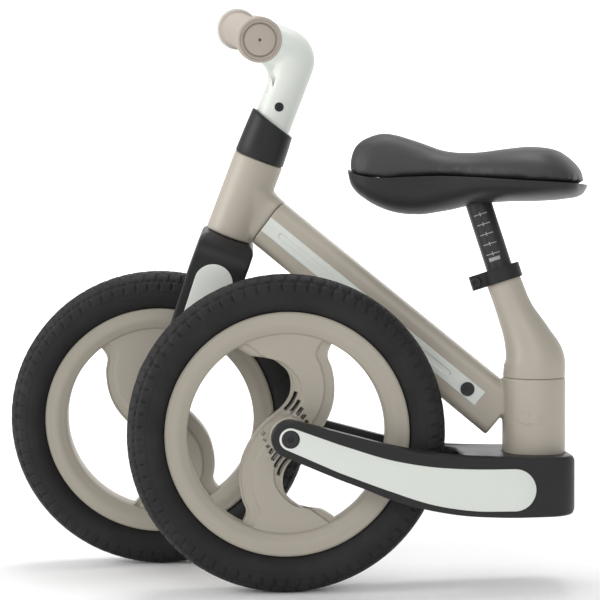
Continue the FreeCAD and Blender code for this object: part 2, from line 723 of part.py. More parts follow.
def front_inlay(side, grow, depth, proud):
    """Inlay of one front leg; side is -1 for the rider's left, +1 for the right."""
    last_t = LEG_INLAY_HALF[-1][0]

    def far(last):
        return [arc((last_t, last), (LEG_INLAY_FAR + grow, 0), (last_t, -last))]

    edges = leg_outline(LEG_INLAY_HALF, INLAY_HUB_RADIUS, far, grow)
    low = FORK_OUTER_HALF_WIDTH - depth
    high = FORK_OUTER_HALF_WIDTH + proud
    block = edge_prism(edges, -high, -low) if side > 0 else edge_prism(edges, low, high)
    block = placed(block, AXLE, HEAD, ACROSS * -1)
    corner = HEAD_TUBE_START - STEERING_GAP - FORK_CORNER_RADIUS
    keep = Part.makeBox(400, 400, 400, V(-400 + corner, -200, -200))
    return block.common(placed(keep, AXLE, HEAD, ACROSS * -1))


# ---- steering -------------------------------------------------------------------------
def on_head(t, e, y):
    return AXLE + HEAD * t + ACROSS * e + SIDE * y


def steerer_tube():
    start = HEAD_TUBE_START - STEERING_GAP - FRONT_CROWN_HEIGHT
    return ring(on_head(start, 0, 0), HEAD, STEERER_RADIUS, STEERER_RADIUS - STEERER_WALL, STEERER_TOP - start)


def collar_top_cut():
    """Block above the collar's slanted upper rim."""
    base = HEAD_TUBE_START + HEAD_TUBE_LENGTH + STEERING_GAP
    front = base + COLLAR_FRONT_HEIGHT
    rear = base + COLLAR_REAR_HEIGHT
    slope = (rear - front) / (2 * COLLAR_TOP_RADIUS)
    reach = 60.0
    centre = (front + rear) / 2
    pts = [(centre - slope * reach, -reach), (centre + slope * reach, reach), (centre + 80, reach),
           (centre + 80, -reach)]
    return placed(prism(pts, -60, 60), AXLE, HEAD, ACROSS)


def steering_collar():
    """Black collar that covers the joint between the head tube and the stem."""
    base = HEAD_TUBE_START + HEAD_TUBE_LENGTH + STEERING_GAP
    cone = Part.makeCone(HEAD_TUBE_RADIUS, COLLAR_TOP_RADIUS, COLLAR_FRONT_HEIGHT + 4, on_head(base, 0, 0), HEAD)
    body = cone.cut(collar_top_cut())
    rim = [e for e in body.Edges if e.Curve.TypeId != "Part::GeomLine" and
           (e.CenterOfMass - on_head(base, 0, 0)).Length > COLLAR_REAR_HEIGHT * 0.8]
    body = body.makeFillet(COLLAR_EDGE_ROUND, rim)
    socket = cylinder(on_head(base + COLLAR_REAR_HEIGHT - STEM_SOCKET_DEPTH, 0, 0), HEAD, STEM_RADIUS,
                      COLLAR_FRONT_HEIGHT)
    bore = cylinder(on_head(base - 1, 0, 0), HEAD, STEERER_RADIUS, COLLAR_FRONT_HEIGHT)
    return body.cut(socket.fuse(bore))


def tee_point(y):
    """Centre of the handlebar at a distance across; it sweeps back and droops."""
    extra = max(0.0, abs(y) - STEM_TEE_STRAIGHT)
    centre = on_head(STEM_HEIGHT, -STEM_REACH, 0)
    return V(centre.x + BAR_BACK_SWEEP * extra, y, centre.z - BAR_DROOP * extra)


def swept_run(radius, y0, y1):
    """Straight round bar along the swept line between two distances across."""
    a = tee_point(y0)
    b = tee_point(y1)
    return cylinder(a, (b - a).normalize(), radius, a.distanceToPoint(b))


def bar_run(radius, half):
    """Round bar along the handlebar line from one side to the other."""
    k = STEM_TEE_STRAIGHT
    parts = [swept_run(radius, -k, k)]
    for s in (-1, 1):
        parts.append(Part.makeSphere(radius, tee_point(s * k)))
        parts.append(swept_run(radius, s * k, s * half))
    return parts[0].fuse(parts[1:])


def stem():
    """White stem: up from the collar, round elbow, forward to the bar's sleeve."""
    base = HEAD_TUBE_START + HEAD_TUBE_LENGTH + STEERING_GAP + COLLAR_REAR_HEIGHT - STEM_SOCKET_DEPTH
    post = cylinder(on_head(base, 0, 0), HEAD, STEM_RADIUS, STEM_HEIGHT - base)
    elbow = Part.makeSphere(STEM_RADIUS, on_head(STEM_HEIGHT, 0, 0))
    reach = cylinder(on_head(STEM_HEIGHT, 0, 0), ACROSS * -1, STEM_RADIUS, STEM_REACH)
    gusset_r = GUSSET_RADIUS
    g = STEM_RADIUS - GUSSET_SINK
    wedge = prism([(STEM_HEIGHT - g, -g), (STEM_HEIGHT - g, -g - gusset_r), (STEM_HEIGHT - g - gusset_r, -g)],
                  -GUSSET_HALF_THICKNESS, GUSSET_HALF_THICKNESS)
    wedge = placed(wedge, AXLE, HEAD, ACROSS)
    hollow = cylinder(on_head(STEM_HEIGHT - g - gusset_r, -g - gusset_r, -10), SIDE, gusset_r - GUSSET_HOLLOW_STEP, 20)
    tee = bar_run(STEM_TEE_RADIUS, STEM_TEE_HALF_WIDTH)
    body = post.fuse([elbow, reach, wedge.cut(hollow), tee]).removeSplitter()
    bore = cylinder(on_head(base, 0, 0), HEAD, STEERER_RADIUS, STEERER_TOP - base)
    bolt = cylinder(on_head(STEM_BOLT_HEIGHT, 0, -40), SIDE, STEM_BOLT_HEAD_RADIUS,
                    40 - STEM_RADIUS + STEM_BOLT_SINK)
    bolt = bolt.fuse(cylinder(on_head(STEM_BOLT_HEIGHT, 0, -40), SIDE, STEM_BOLT_SHANK_RADIUS, 80))
    nut = cylinder(on_head(STEM_BOLT_HEIGHT, 0, STEM_RADIUS - STEM_BOLT_SINK), SIDE, STEM_BOLT_HEAD_RADIUS, 30)
    return body.cut(bore.fuse([bolt, nut, bar_run(BAR_RADIUS, BAR_HALF_WIDTH)]))


def stem_bolt():
    """Cross bolt that clamps the stem to the steerer tube, with its nut."""
    face = on_head(STEM_BOLT_HEIGHT, 0, STEM_BOLT_SINK - STEM_RADIUS)
    bolt = button_bolt(face, SIDE * -1, STEM_BOLT_HEAD_RADIUS, STEM_BOLT_HEAD_HEIGHT,
                       STEM_BOLT_SHANK_RADIUS, 2 * (STEM_RADIUS - STEM_BOLT_SINK))
    nut = ring(on_head(STEM_BOLT_HEIGHT, 0, STEM_RADIUS - STEM_BOLT_SINK), SIDE, STEM_BOLT_HEAD_RADIUS,
               STEM_BOLT_SHANK_RADIUS, STEM_NUT_HEIGHT)
    return Part.makeCompound([bolt, nut])


def handlebar():
    """Steel bar through the stem's sleeve, bent a little back and down at each side."""
    return bar_run(BAR_RADIUS, BAR_HALF_WIDTH - GRIP_END_WALL).cut(
        bar_run(BAR_RADIUS - BAR_WALL, BAR_HALF_WIDTH + 5.0))


def grip(side):
    """Soft grip: inner flange, plain barrel, thick end ring and a raised end disc."""
    inner_y = STEM_TEE_HALF_WIDTH + GRIP_GAP
    a = tee_point(side * inner_y)
    b = tee_point(side * BAR_HALF_WIDTH)
    d = (b - a).normalize()
    length = a.distanceToPoint(b)
    body = cylinder(a, d, GRIP_RADIUS, length)
    flange = cylinder(a, d, GRIP_FLANGE_RADIUS, GRIP_FLANGE_WIDTH)
    flange = flange.makeFillet(GRIP_FLANGE_ROUND, [e for e in flange.Edges if e.Curve.TypeId == "Part::GeomCircle"])
    end_ring = cylinder(b - d * GRIP_RING_WIDTH, d, GRIP_RING_RADIUS, GRIP_RING_WIDTH)
    end_ring = end_ring.makeFillet(GRIP_END_ROUND, [e for e in end_ring.Edges if e.Curve.TypeId == "Part::GeomCircle"])
    out = body.fuse([flange, end_ring])
    groove = ring(b - d * GRIP_GROOVE_START, d, GRIP_RING_RADIUS - GRIP_GROOVE_INSET, GRIP_DISC_RADIUS,
                  GRIP_GROOVE_DEPTH)
    bore = cylinder(a - d, d, BAR_RADIUS, length + 1 - GRIP_END_WALL)
    vent = cylinder(b - d * 10, d, GRIP_VENT_RADIUS, 12)
    return out.cut(groove.fuse([bore, vent]))


# ---- frame ------------------------------------------------------------------------------
def beam_block(start, length, extra):
    """Rounded rectangular run along the beam from a distance past the seam."""
    box = rounded_box(BEAM_DEPTH + extra * 2, BEAM_WIDTH + extra * 2, length, BEAM_CORNER)
    return placed(box, BEAM_START + BEAM * start, BEAM_UP, SIDE * -1)


def head_casting():
    """Head tube with the short socket that the beam fits into."""
    tube = cylinder(on_head(HEAD_TUBE_START, 0, 0), HEAD, HEAD_TUBE_RADIUS, HEAD_TUBE_LENGTH)
    t = HEAD_TUBE_START + HEAD_TUBE_LENGTH / 2
    head_mid = on_head(t, 0, 0)
    back = (BEAM_START - head_mid).dot(BEAM)
    block = beam_block(-back, back, SOCKET_EXTRA)
    body = tube.fuse(block)
    return head_bores(body)


def head_bores(body):
    middle = HEADSET_RADIUS - 3.0
    cuts = [
        cylinder(on_head(HEAD_TUBE_START - 1, 0, 0), HEAD, middle, HEAD_TUBE_LENGTH + 2),
        cylinder(on_head(HEAD_TUBE_START, 0, 0), HEAD, HEADSET_RADIUS, HEADSET_HEIGHT),
        cylinder(on_head(HEAD_TUBE_START + HEAD_TUBE_LENGTH - HEADSET_HEIGHT, 0, 0), HEAD, HEADSET_RADIUS,
                 HEADSET_HEIGHT),
    ]
    return body.cut(cuts[0].fuse(cuts[1:]))


def headset_bearing(t):
    return ring(on_head(t, 0, 0), HEAD, HEADSET_RADIUS, STEERER_RADIUS + STEERER_CLEARANCE, HEADSET_HEIGHT)


def panel_block(side, low, high, grow):
    """Flat strip along the beam's side between two distances from its middle."""
    w = PANEL_WIDTH / 2 + grow
    a = PANEL_START - grow
    b = BEAM_LENGTH - PANEL_END + grow
    pts = [(a, -w), (b, -w), (b, w), (a, w)]
    strip = prism(pts, low, high) if side < 0 else prism(pts, -high, -low)
    return placed(strip, BEAM_START, BEAM, BEAM_UP)


def beam():
    """Main beam with a channel along each side, cast in one with the knuckle."""
    run = beam_block(0.0, BEAM_LENGTH + 34.0, 0.0)
    inner = rounded_box(BEAM_DEPTH - 2 * BEAM_WALL, BEAM_WIDTH - 2 * BEAM_WALL - 2 * PANEL_THICKNESS,
                        BEAM_LENGTH - 20.0, BEAM_CORNER - BEAM_WALL)
    inner = placed(inner, BEAM_START - BEAM * 1.0, BEAM_UP, SIDE * -1)
    knuckle = cylinder(V(PIVOT_X, 0, KNUCKLE_BOTTOM), UP, KNUCKLE_RADIUS, KNUCKLE_TOP - KNUCKLE_BOTTOM)
    floor = Part.makeBox(500, 200, 200, V(150, -100, KNUCKLE_BOTTOM - 200))
    body = run.cut(floor).fuse(knuckle).removeSplitter()
    cuts = [inner]
    for side in (-1, 1):
        low = BEAM_WIDTH / 2 - PANEL_THICKNESS + PANEL_PROUD
        cuts.append(panel_block(side, low, low + 10, INLAY_GAP))
    cuts.append(cylinder(V(PIVOT_X, 0, KNUCKLE_BOTTOM), UP, PIVOT_RADIUS, PIVOT_TOP - KNUCKLE_BOTTOM))
    body = body.cut(cuts[0].fuse(cuts[1:]))
    body = body.cut(post_bore())
    return body


def seat_tube():
    """Seat tube that flares down from the clamp to the knuckle."""
    base = V(PIVOT_X, 0, KNUCKLE_TOP)
    mouth = SEAT_BASE + SEAT * (CLAMP_BOTTOM - 1.0)
    stations = [
        (base, UP, SEAT_TUBE_BASE_RADIUS),
    ]
    rise = mouth.z - base.z
    for share, inward, tilt, radius in SEAT_TUBE_STATIONS:
        centre = V(base.x + (mouth.x - base.x) * inward, 0, base.z + rise * share)
        stations.append((centre, V(-tilt, 0, 1), radius))
    stations.append((mouth, SEAT, SEAT_TUBE_TOP_RADIUS))
    wires = []
    for centre, normal, radius in stations:
        wires.append(Part.Wire(Part.makeCircle(radius, centre, normal)))
    body = Part.makeLoft(wires, True, False)
    neck = cylinder(mouth, SEAT, SEAT_TUBE_TOP_RADIUS, CLAMP_HEIGHT)
    return body.fuse(neck).removeSplitter().cut(post_bore())


def post_bore():
    top = CLAMP_BOTTOM + CLAMP_HEIGHT
    start = SEAT_BASE + SEAT * (top - SEAT_BORE_DEPTH)
    return cylinder(start, SEAT, POST_RADIUS + POST_CLEARANCE, SEAT_BORE_DEPTH + 40)


def seat_clamp():
    """Clamp ring on the seat tube's neck, with a split ear towards the front left."""
    base = SEAT_BASE + SEAT * CLAMP_BOTTOM
    body = cylinder(base, SEAT, CLAMP_RADIUS, CLAMP_HEIGHT)
    ahead = V(-math.cos(rad(SEAT_ANGLE)), 0, -math.sin(rad(SEAT_ANGLE)))
    ear = Part.makeBox(CLAMP_EAR_REACH, CLAMP_EAR_WIDTH * 2, CLAMP_HEIGHT, V(0, -CLAMP_EAR_WIDTH, 0))
    ear = placed(ear, base, ahead, SIDE * -1)
    slit = Part.makeBox(CLAMP_EAR_REACH + 5, CLAMP_SLIT, CLAMP_HEIGHT + 2, V(5, -CLAMP_SLIT / 2, -1))
    slit = placed(slit, base, ahead, SIDE * -1)
    body = body.fuse(ear.common(cylinder(base, SEAT, CLAMP_EAR_REACH, CLAMP_HEIGHT)))
    neck = cylinder(base - SEAT, SEAT, SEAT_TUBE_TOP_RADIUS, CLAMP_HEIGHT + 1)
    lip = cylinder(base, SEAT, POST_RADIUS + POST_CLEARANCE, CLAMP_HEIGHT + 5)
    hole = cylinder(clamp_bolt_point() - SIDE * 30, SIDE, CLAMP_BOLT_RADIUS, 60)
    return body.cut(neck.fuse([lip, slit, hole]))


def clamp_bolt_point():
    ahead = V(-math.cos(rad(SEAT_ANGLE)), 0, -math.sin(rad(SEAT_ANGLE)))
    return SEAT_BASE + SEAT * (CLAMP_BOTTOM + CLAMP_HEIGHT / 2) + ahead * CLAMP_BOLT_REACH


def seat_clamp_bolt():
    """Bolt across the clamp's ear, head on the left and nut on the right."""
    p = clamp_bolt_point()
    face = p - SIDE * CLAMP_EAR_WIDTH
    bolt = button_bolt(face, SIDE * -1, CLAMP_BOLT_HEAD_RADIUS, CLAMP_HEAD_HEIGHT, CLAMP_BOLT_RADIUS,
                       2 * CLAMP_EAR_WIDTH)
    nut = ring(p + SIDE * CLAMP_EAR_WIDTH, SIDE, CLAMP_BOLT_HEAD_RADIUS, CLAMP_BOLT_RADIUS, CLAMP_HEAD_HEIGHT)
    stub = cylinder(p + SIDE * CLAMP_EAR_WIDTH, SIDE, CLAMP_BOLT_RADIUS, CLAMP_HEAD_HEIGHT)
    return Part.makeCompound([bolt, nut.fuse(stub)])


def panel(side):
    """White strip in the beam's side channel with a long shallow slot."""
    low = BEAM_WIDTH / 2 - PANEL_THICKNESS + PANEL_PROUD
    high = BEAM_WIDTH / 2 + PANEL_PROUD
    strip = panel_block(side, low, high, 0.0)
    a = PANEL_START + PANEL_GROOVE_START
    b = BEAM_LENGTH - PANEL_END - PANEL_GROOVE_END
    w = PANEL_GROOVE_WIDTH / 2
    pts = [(a, -w), (b, -w), (b, w), (a, w)]
    z = high - PANEL_GROOVE_DEPTH
    cut = prism(pts, z, z + 5) if side < 0 else prism(pts, -z - 5, -z)
    cut = placed(cut, BEAM_START, BEAM, BEAM_UP)
    hole = cylinder(panel_bolt_point(side) - SIDE * 20, SIDE, PANEL_SHANK_RADIUS, 40)
    return strip.cut(cut.fuse(hole))


def panel_bolt_point(side):
    high = BEAM_WIDTH / 2 + PANEL_PROUD
    along = BEAM_LENGTH - PANEL_END - PANEL_BOLT_INSET
    return BEAM_START + BEAM * along + SIDE * (side * high)


def panel_bolts():
    out = []
    for side in (-1, 1):
        p = panel_bolt_point(side)
        out.append(button_bolt(p, SIDE * side, PANEL_BOLT_RADIUS, PANEL_BOLT_HEIGHT, PANEL_SHANK_RADIUS,
                               PANEL_THICKNESS))
    return Part.makeCompound(out)


# ---- fold pivot and lock --------------------------------------------------------------------
def pivot_post():
    """Steel post fixed in the knuckle; the rear fork's crown turns on it."""
    low = CROWN_BOTTOM + PIVOT_END_RECESS
    post = ring(V(PIVOT_X, 0, low), UP, PIVOT_RADIUS, PIVOT_RADIUS - PIVOT_WALL, PIVOT_TOP - low)
    depth = LOCK_BITE + LOCK_GROOVE_CLEARANCE
    half = LOCK_RADIUS + LOCK_GROOVE_CLEARANCE
    groove = ring(V(PIVOT_X, 0, LOCK_HEIGHT - half), UP, PIVOT_RADIUS + 1, PIVOT_RADIUS - depth, 2 * half)
    return post.cut(groove)


def pivot_bolt():
    """Washer and bolt that hold the crown on the pivot post from below."""
    low = CROWN_BOTTOM + PIVOT_END_RECESS
    face = V(PIVOT_X, 0, low - PIVOT_END_WASHER)
    washer = cylinder(face, UP, PIVOT_END_WASHER_RADIUS, PIVOT_END_WASHER)
    bolt = button_bolt(face, UP * -1, PIVOT_BOLT_HEAD_RADIUS, PIVOT_BOLT_HEAD_HEIGHT,
                       PIVOT_RADIUS - PIVOT_WALL, PIVOT_BOLT_LENGTH)
    return washer.fuse(bolt)


def pivot_bushes():
    inner = PIVOT_RADIUS + PIVOT_CLEARANCE
    top = KNUCKLE_BOTTOM - THRUST_GAP - THRUST_WASHER
    low = CROWN_BOTTOM + PIVOT_END_RECESS
    upper = ring(V(PIVOT_X, 0, top - BUSH_LENGTH), UP, BUSH_RADIUS, inner, BUSH_LENGTH)
    lower = ring(V(PIVOT_X, 0, low + THRUST_GAP), UP, BUSH_RADIUS, inner, BUSH_LENGTH - THRUST_GAP)
    return folded(Part.makeCompound([upper, lower]))


def thrust_washer():
    """Plastic washer between the knuckle and the floor of the crown's recess."""
    base = V(PIVOT_X, 0, KNUCKLE_BOTTOM - THRUST_WASHER)
    return ring(base, UP, KNUCKLE_RADIUS - THRUST_WASHER_MARGIN, PIVOT_RADIUS, THRUST_WASHER)


def lock_plunger():
    start, inward = lock_line()
    a = start + inward * (LOCK_BUTTON_DEPTH)
    rod = cylinder(a, inward, LOCK_RADIUS, LOCK_LENGTH - LOCK_BUTTON_DEPTH)
    waist = ring(start + inward * (CROWN_REACH - LOCK_RADIUS - 8), inward, LOCK_RADIUS + 1,
                 LOCK_RADIUS - LOCK_WAIST_DEPTH, LOCK_WAIST_LENGTH)
    return folded(rod.cut(waist))


def lock_button():
    start, inward = lock_line()
    face = start - inward * LOCK_BUTTON_PROUD
    cap = cylinder(face, inward, LOCK_BUTTON_RADIUS, LOCK_BUTTON_PROUD + LOCK_BUTTON_DEPTH)
    rim = [e for e in cap.Edges if e.Curve.TypeId == "Part::GeomCircle" and
           (e.Curve.Center - face).Length < 0.01]
    return folded(cap.makeFillet(LOCK_CAP_ROUND, rim))


def lock_spring():
    """Coil spring at its pressed length, against the floor of the plunger's bore."""
    start, inward = lock_line()
    room = LOCK_SPRING_LENGTH - LOCK_TRAVEL - 2 * (LOCK_SPRING_WIRE + LOCK_SPRING_GAP)
    radius = LOCK_RADIUS - LOCK_SPRING_WIRE - 2 * LOCK_SPRING_GAP
    helix = Part.makeHelix(room / LOCK_SPRING_TURNS, room, radius)
    section = Part.Wire(Part.makeCircle(LOCK_SPRING_WIRE, V(radius, 0, 0), V(0, 1, 0)))
    coil = Part.Wire(helix).makePipeShell([section], True, False)
    origin = start + inward * (LOCK_LENGTH + LOCK_TRAVEL + LOCK_SPRING_WIRE + LOCK_SPRING_GAP)
    return folded(placed(coil, origin, SIDE, UP))


# ---- seat -------------------------------------------------------------------------------------
def seat_post():
    """Round tube that slides in the seat tube and carries the saddle."""
    post = ring(SEAT_BASE - SEAT * POST_INSERTED, SEAT, POST_RADIUS, POST_RADIUS - POST_WALL,
                POST_INSERTED + POST_TOP)
    return post


def saddle_origin():
    return SEAT_BASE + SEAT * POST_TOP


def saddle_section(station, part):
    """Closed section across the saddle: the pad above the seam, or the shell."""
    x, w, top, seam, under = station
    o = saddle_origin()
    pts = []
    n = 14
    if part == "pad":
        low = seam + SADDLE_SEAM_GAP / 2
        for i in range(n + 1):
            a = math.pi * i / n
            c = math.cos(a)
            s = math.sin(a)
            y = w * math.copysign(abs(c) ** PAD_SIDE_POWER, c)
            z = low + (top - low) * abs(s) ** PAD_TOP_POWER
            pts.append(V(o.x + x, y, o.z + z))
    else:
        high = seam - SADDLE_SEAM_GAP / 2
        ww = w - SHELL_INSET
        for i in range(n + 1):
            a = math.pi * i / n
            c = math.cos(a)
            s = math.sin(a)
            y = ww * math.copysign(abs(c) ** SHELL_SIDE_POWER, c)
            z = high - (high - under) * abs(s) ** SHELL_BOTTOM_POWER
            pts.append(V(o.x + x, y, o.z + z))
    curve = Part.BSplineCurve()
    curve.interpolate(pts)
    return Part.Wire([curve.toShape(), Part.makeLine(pts[-1], pts[0])])


def saddle_pad():
    wires = [saddle_section(s, "pad") for s in SADDLE]
    return Part.makeLoft(wires, True, False)


def saddle_shell():
    """Moulded shell under the pad, with a socket for the post and a hollow behind."""
    wires = [saddle_section(s, "shell") for s in SADDLE]
    body = Part.makeLoft(wires, True, False)
    post = cylinder(SEAT_BASE, SEAT, POST_RADIUS, POST_TOP)
    cuts = [post]
    for p in screw_points():
        cuts.append(cylinder(p - UP * SADDLE_DEPTH, UP, SCREW_HEAD_RADIUS, SADDLE_DEPTH + SCREW_POCKET))
        cuts.append(cylinder(p, UP, SCREW_RADIUS, SCREW_POCKET + SCREW_SHANK_LENGTH))
    return body.cut(cuts[0].fuse(cuts[1:]))


def screw_points():
    o = saddle_origin()
    return [V(o.x + back, 0, o.z + height) for back, height in SADDLE_SCREWS]


def saddle_screws():
    """Screws that hold the pad's base to the shell, heads in deep pockets."""
    out = []
    for p in screw_points():
        seat = p + UP * SCREW_POCKET
        head = cylinder(seat - UP * SCREW_HEAD_HEIGHT, UP, SCREW_HEAD_RADIUS, SCREW_HEAD_HEIGHT)
        shank = cylinder(seat, UP, SCREW_RADIUS, SCREW_SHANK_LENGTH)
        out.append(head.fuse(shank))
    return Part.makeCompound(out)


# ---- every node --------------------------------------------------------------------------------
def build():
    nodes = {}
    nodes["head_casting"] = head_casting()
    nodes["main_beam"] = beam()
    nodes["seat_tube"] = seat_tube()
    nodes["panel_left"] = panel(-1)
    nodes["panel_right"] = panel(1)
    nodes["panel_bolts"] = panel_bolts()
    nodes["headset_bearing_lower"] = headset_bearing(HEAD_TUBE_START)
    nodes["headset_bearing_upper"] = headset_bearing(HEAD_TUBE_START + HEAD_TUBE_LENGTH - HEADSET_HEIGHT)
    nodes["pivot_post"] = pivot_post()
    nodes["pivot_bolt"] = pivot_bolt()
    nodes["thrust_washer"] = thrust_washer()
    nodes["seat_clamp"] = seat_clamp()
    nodes["seat_clamp_bolt"] = seat_clamp_bolt()

    nodes["front_fork"] = steered(front_fork())
    nodes["front_inlay_left"] = steered(front_inlay(-1, 0.0, INLAY_DEPTH, INLAY_PROUD).cut(bolt_clearance(AXLE)))
    nodes["front_inlay_right"] = steered(front_inlay(1, 0.0, INLAY_DEPTH, INLAY_PROUD).cut(bolt_clearance(AXLE)))
    nodes["steerer_tube"] = steered(steerer_tube().cut(
        cylinder(on_head(STEM_BOLT_HEIGHT, 0, -40), SIDE, STEM_BOLT_SHANK_RADIUS, 80)))
    nodes["steering_collar"] = steered(steering_collar())
    nodes["stem"] = steered(stem())
    nodes["stem_bolt"] = steered(stem_bolt())
    nodes["handlebar"] = steered(handlebar())
    nodes["grip_left"] = steered(grip(-1))
    nodes["grip_right"] = steered(grip(1))
    axle, bolts, washers = axle_set(AXLE)
    nodes["front_axle"] = steered(axle)
    nodes["front_axle_bolts"] = steered(bolts)
    nodes["front_axle_washers"] = steered(washers)

    tyre = tyre_solid()
    wheel = wheel_solid()
    bearings = bearing_pair()
    spacer = hub_spacer()
    nodes["front_tyre"] = steered(on_axle(tyre, AXLE, FRONT_WHEEL_TURN))
    nodes["front_wheel"] = steered(on_axle(wheel, AXLE, FRONT_WHEEL_TURN))
    nodes["front_bearings"] = steered(on_axle(bearings, AXLE, 0))
    nodes["front_hub_spacer"] = steered(on_axle(spacer, AXLE, 0))

    nodes["rear_fork"] = rear_fork()
    nodes["rear_inlay_left"] = folded(rear_inlay(-1, 0.0, INLAY_DEPTH, INLAY_PROUD).cut(bolt_clearance(REAR_AXLE)))
    nodes["rear_inlay_right"] = folded(rear_inlay(1, 0.0, INLAY_DEPTH, INLAY_PROUD).cut(bolt_clearance(REAR_AXLE)))
    axle, bolts, washers = axle_set(REAR_AXLE)
    nodes["rear_axle"] = folded(axle)
    nodes["rear_axle_bolts"] = folded(bolts)
    nodes["rear_axle_washers"] = folded(washers)
    nodes["pivot_bushes"] = pivot_bushes()
    nodes["lock_spring"] = lock_spring()
    nodes["rear_tyre"] = folded(on_axle(tyre, REAR_AXLE, 0))
    nodes["rear_wheel"] = folded(on_axle(wheel, REAR_AXLE, 0))
    nodes["rear_bearings"] = folded(on_axle(bearings, REAR_AXLE, 0))
    nodes["rear_hub_spacer"] = folded(on_axle(spacer, REAR_AXLE, 0))

    nodes["lock_plunger"] = lock_plunger()
    nodes["lock_button"] = lock_button()

    nodes["seat_post"] = seat_post()
    nodes["saddle_shell"] = saddle_shell()
    nodes["saddle_pad"] = saddle_pad()
    nodes["saddle_screws"] = saddle_screws()
    return nodes


def main():
    os.makedirs("parts", exist_ok=True)
    for name, shape in build().items():
        box = shape.BoundBox
        if not shape.isValid() or shape.Volume <= 0:
            raise ValueError("bad solid: " + name)
        shape.exportStep(os.path.join("parts", name + ".step"))
        print(name, len(shape.Solids), round(shape.Volume / 1000, 2),
              [round(v, 1) for v in (box.XMin, box.XMax, box.YMin, box.YMax, box.ZMin, box.ZMax)])


main()
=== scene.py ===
import json
import math

import bmesh
import bpy
import numpy as np
from bpy.props import BoolProperty, FloatProperty, FloatVectorProperty, IntProperty, PointerProperty
from mathutils import Matrix, Vector


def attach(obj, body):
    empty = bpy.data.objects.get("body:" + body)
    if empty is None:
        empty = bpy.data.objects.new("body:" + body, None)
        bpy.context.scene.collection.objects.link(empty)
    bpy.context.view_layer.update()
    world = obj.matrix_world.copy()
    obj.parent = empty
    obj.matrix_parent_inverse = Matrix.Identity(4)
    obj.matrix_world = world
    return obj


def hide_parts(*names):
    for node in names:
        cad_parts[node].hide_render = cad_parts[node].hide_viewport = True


bl_info = {
    "name": "Folding Balance Bike",
    "version": (1, 0, 0),
    "blender": (4, 5, 0),
    "location": "3D View > Sidebar > Balance Bike",
    "description": "Tyres, wheels, forks, frame, steering and saddle of a folding balance bike",
    "category": "Object",
}

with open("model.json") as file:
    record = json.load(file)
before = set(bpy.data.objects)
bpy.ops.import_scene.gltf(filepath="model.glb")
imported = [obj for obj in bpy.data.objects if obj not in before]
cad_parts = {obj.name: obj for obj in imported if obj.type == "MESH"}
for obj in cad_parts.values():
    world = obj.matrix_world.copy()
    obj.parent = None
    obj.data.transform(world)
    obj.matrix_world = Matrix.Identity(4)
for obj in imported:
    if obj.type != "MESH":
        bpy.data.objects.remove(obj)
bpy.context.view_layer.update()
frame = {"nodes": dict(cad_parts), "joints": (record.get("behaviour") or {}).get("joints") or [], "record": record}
NODES = frame["nodes"]
JOINTS = {joint["name"]: joint for joint in frame["joints"]}
MM = 0.001


# ---- frames of reference ----------------------------------------------------
def axes_to_world(origin, x, y, z):
    """Four by four array that takes local points to the bike's frame."""
    out = np.eye(4)
    out[:3, 0] = x
    out[:3, 1] = y
    out[:3, 2] = z
    out[:3, 3] = origin
    return out


def unit(v):
    """The direction of a vector, one long."""
    v = np.asarray(v, float)
    return v / np.linalg.norm(v)


# Angles from level, and places on the middle plane in millimetres
HEAD_TILT = math.radians(68.0)
BEAM_TILT = math.radians(38.4)
SEAT_TILT = math.radians(18.1)
SEAT_PLACE = (343.8, 0.0, 305.6)
BEAM_PLACE = (115.6, 0.0, 347.3)
SADDLE_RISE = 64.0

UP = np.array([0.0, 0.0, 1.0])
HEAD = unit(JOINTS["steering_turn"]["axis"])
FRONT_HUB = np.array(JOINTS["front_wheel_spin"]["pos_m"])
FRONT_SIDE = -unit(JOINTS["front_wheel_spin"]["axis"])
FRONT_ACROSS = np.cross(FRONT_SIDE, HEAD)
FRONT_BACK = HEAD * math.cos(HEAD_TILT) + FRONT_ACROSS * math.sin(HEAD_TILT)
FRONT_UP = HEAD * math.sin(HEAD_TILT) - FRONT_ACROSS * math.cos(HEAD_TILT)
REAR_HUB = np.array(JOINTS["rear_wheel_spin"]["pos_m"])
REAR_SIDE = -unit(JOINTS["rear_wheel_spin"]["axis"])
PIVOT = np.array(JOINTS["rear_fold"]["pos_m"])
REAR_ALONG = unit([PIVOT[0] - REAR_HUB[0], PIVOT[1] - REAR_HUB[1], 0.0])
REAR_BACK = np.cross(UP, -REAR_SIDE)
SEAT = unit(JOINTS["seat_height"]["axis"])
SEAT_BASE = np.array(SEAT_PLACE) * MM
SADDLE_ORIGIN = (SEAT_BASE + SEAT * SADDLE_RISE * MM) / MM
BEAM_ALONG = np.array([math.cos(BEAM_TILT), 0.0, -math.sin(BEAM_TILT)])
BEAM_RISE = np.array([math.sin(BEAM_TILT), 0.0, math.cos(BEAM_TILT)])
BEAM_START = np.array(BEAM_PLACE) * MM
SIDE = np.array([0.0, 1.0, 0.0])
ACROSS = np.cross(SIDE, HEAD)

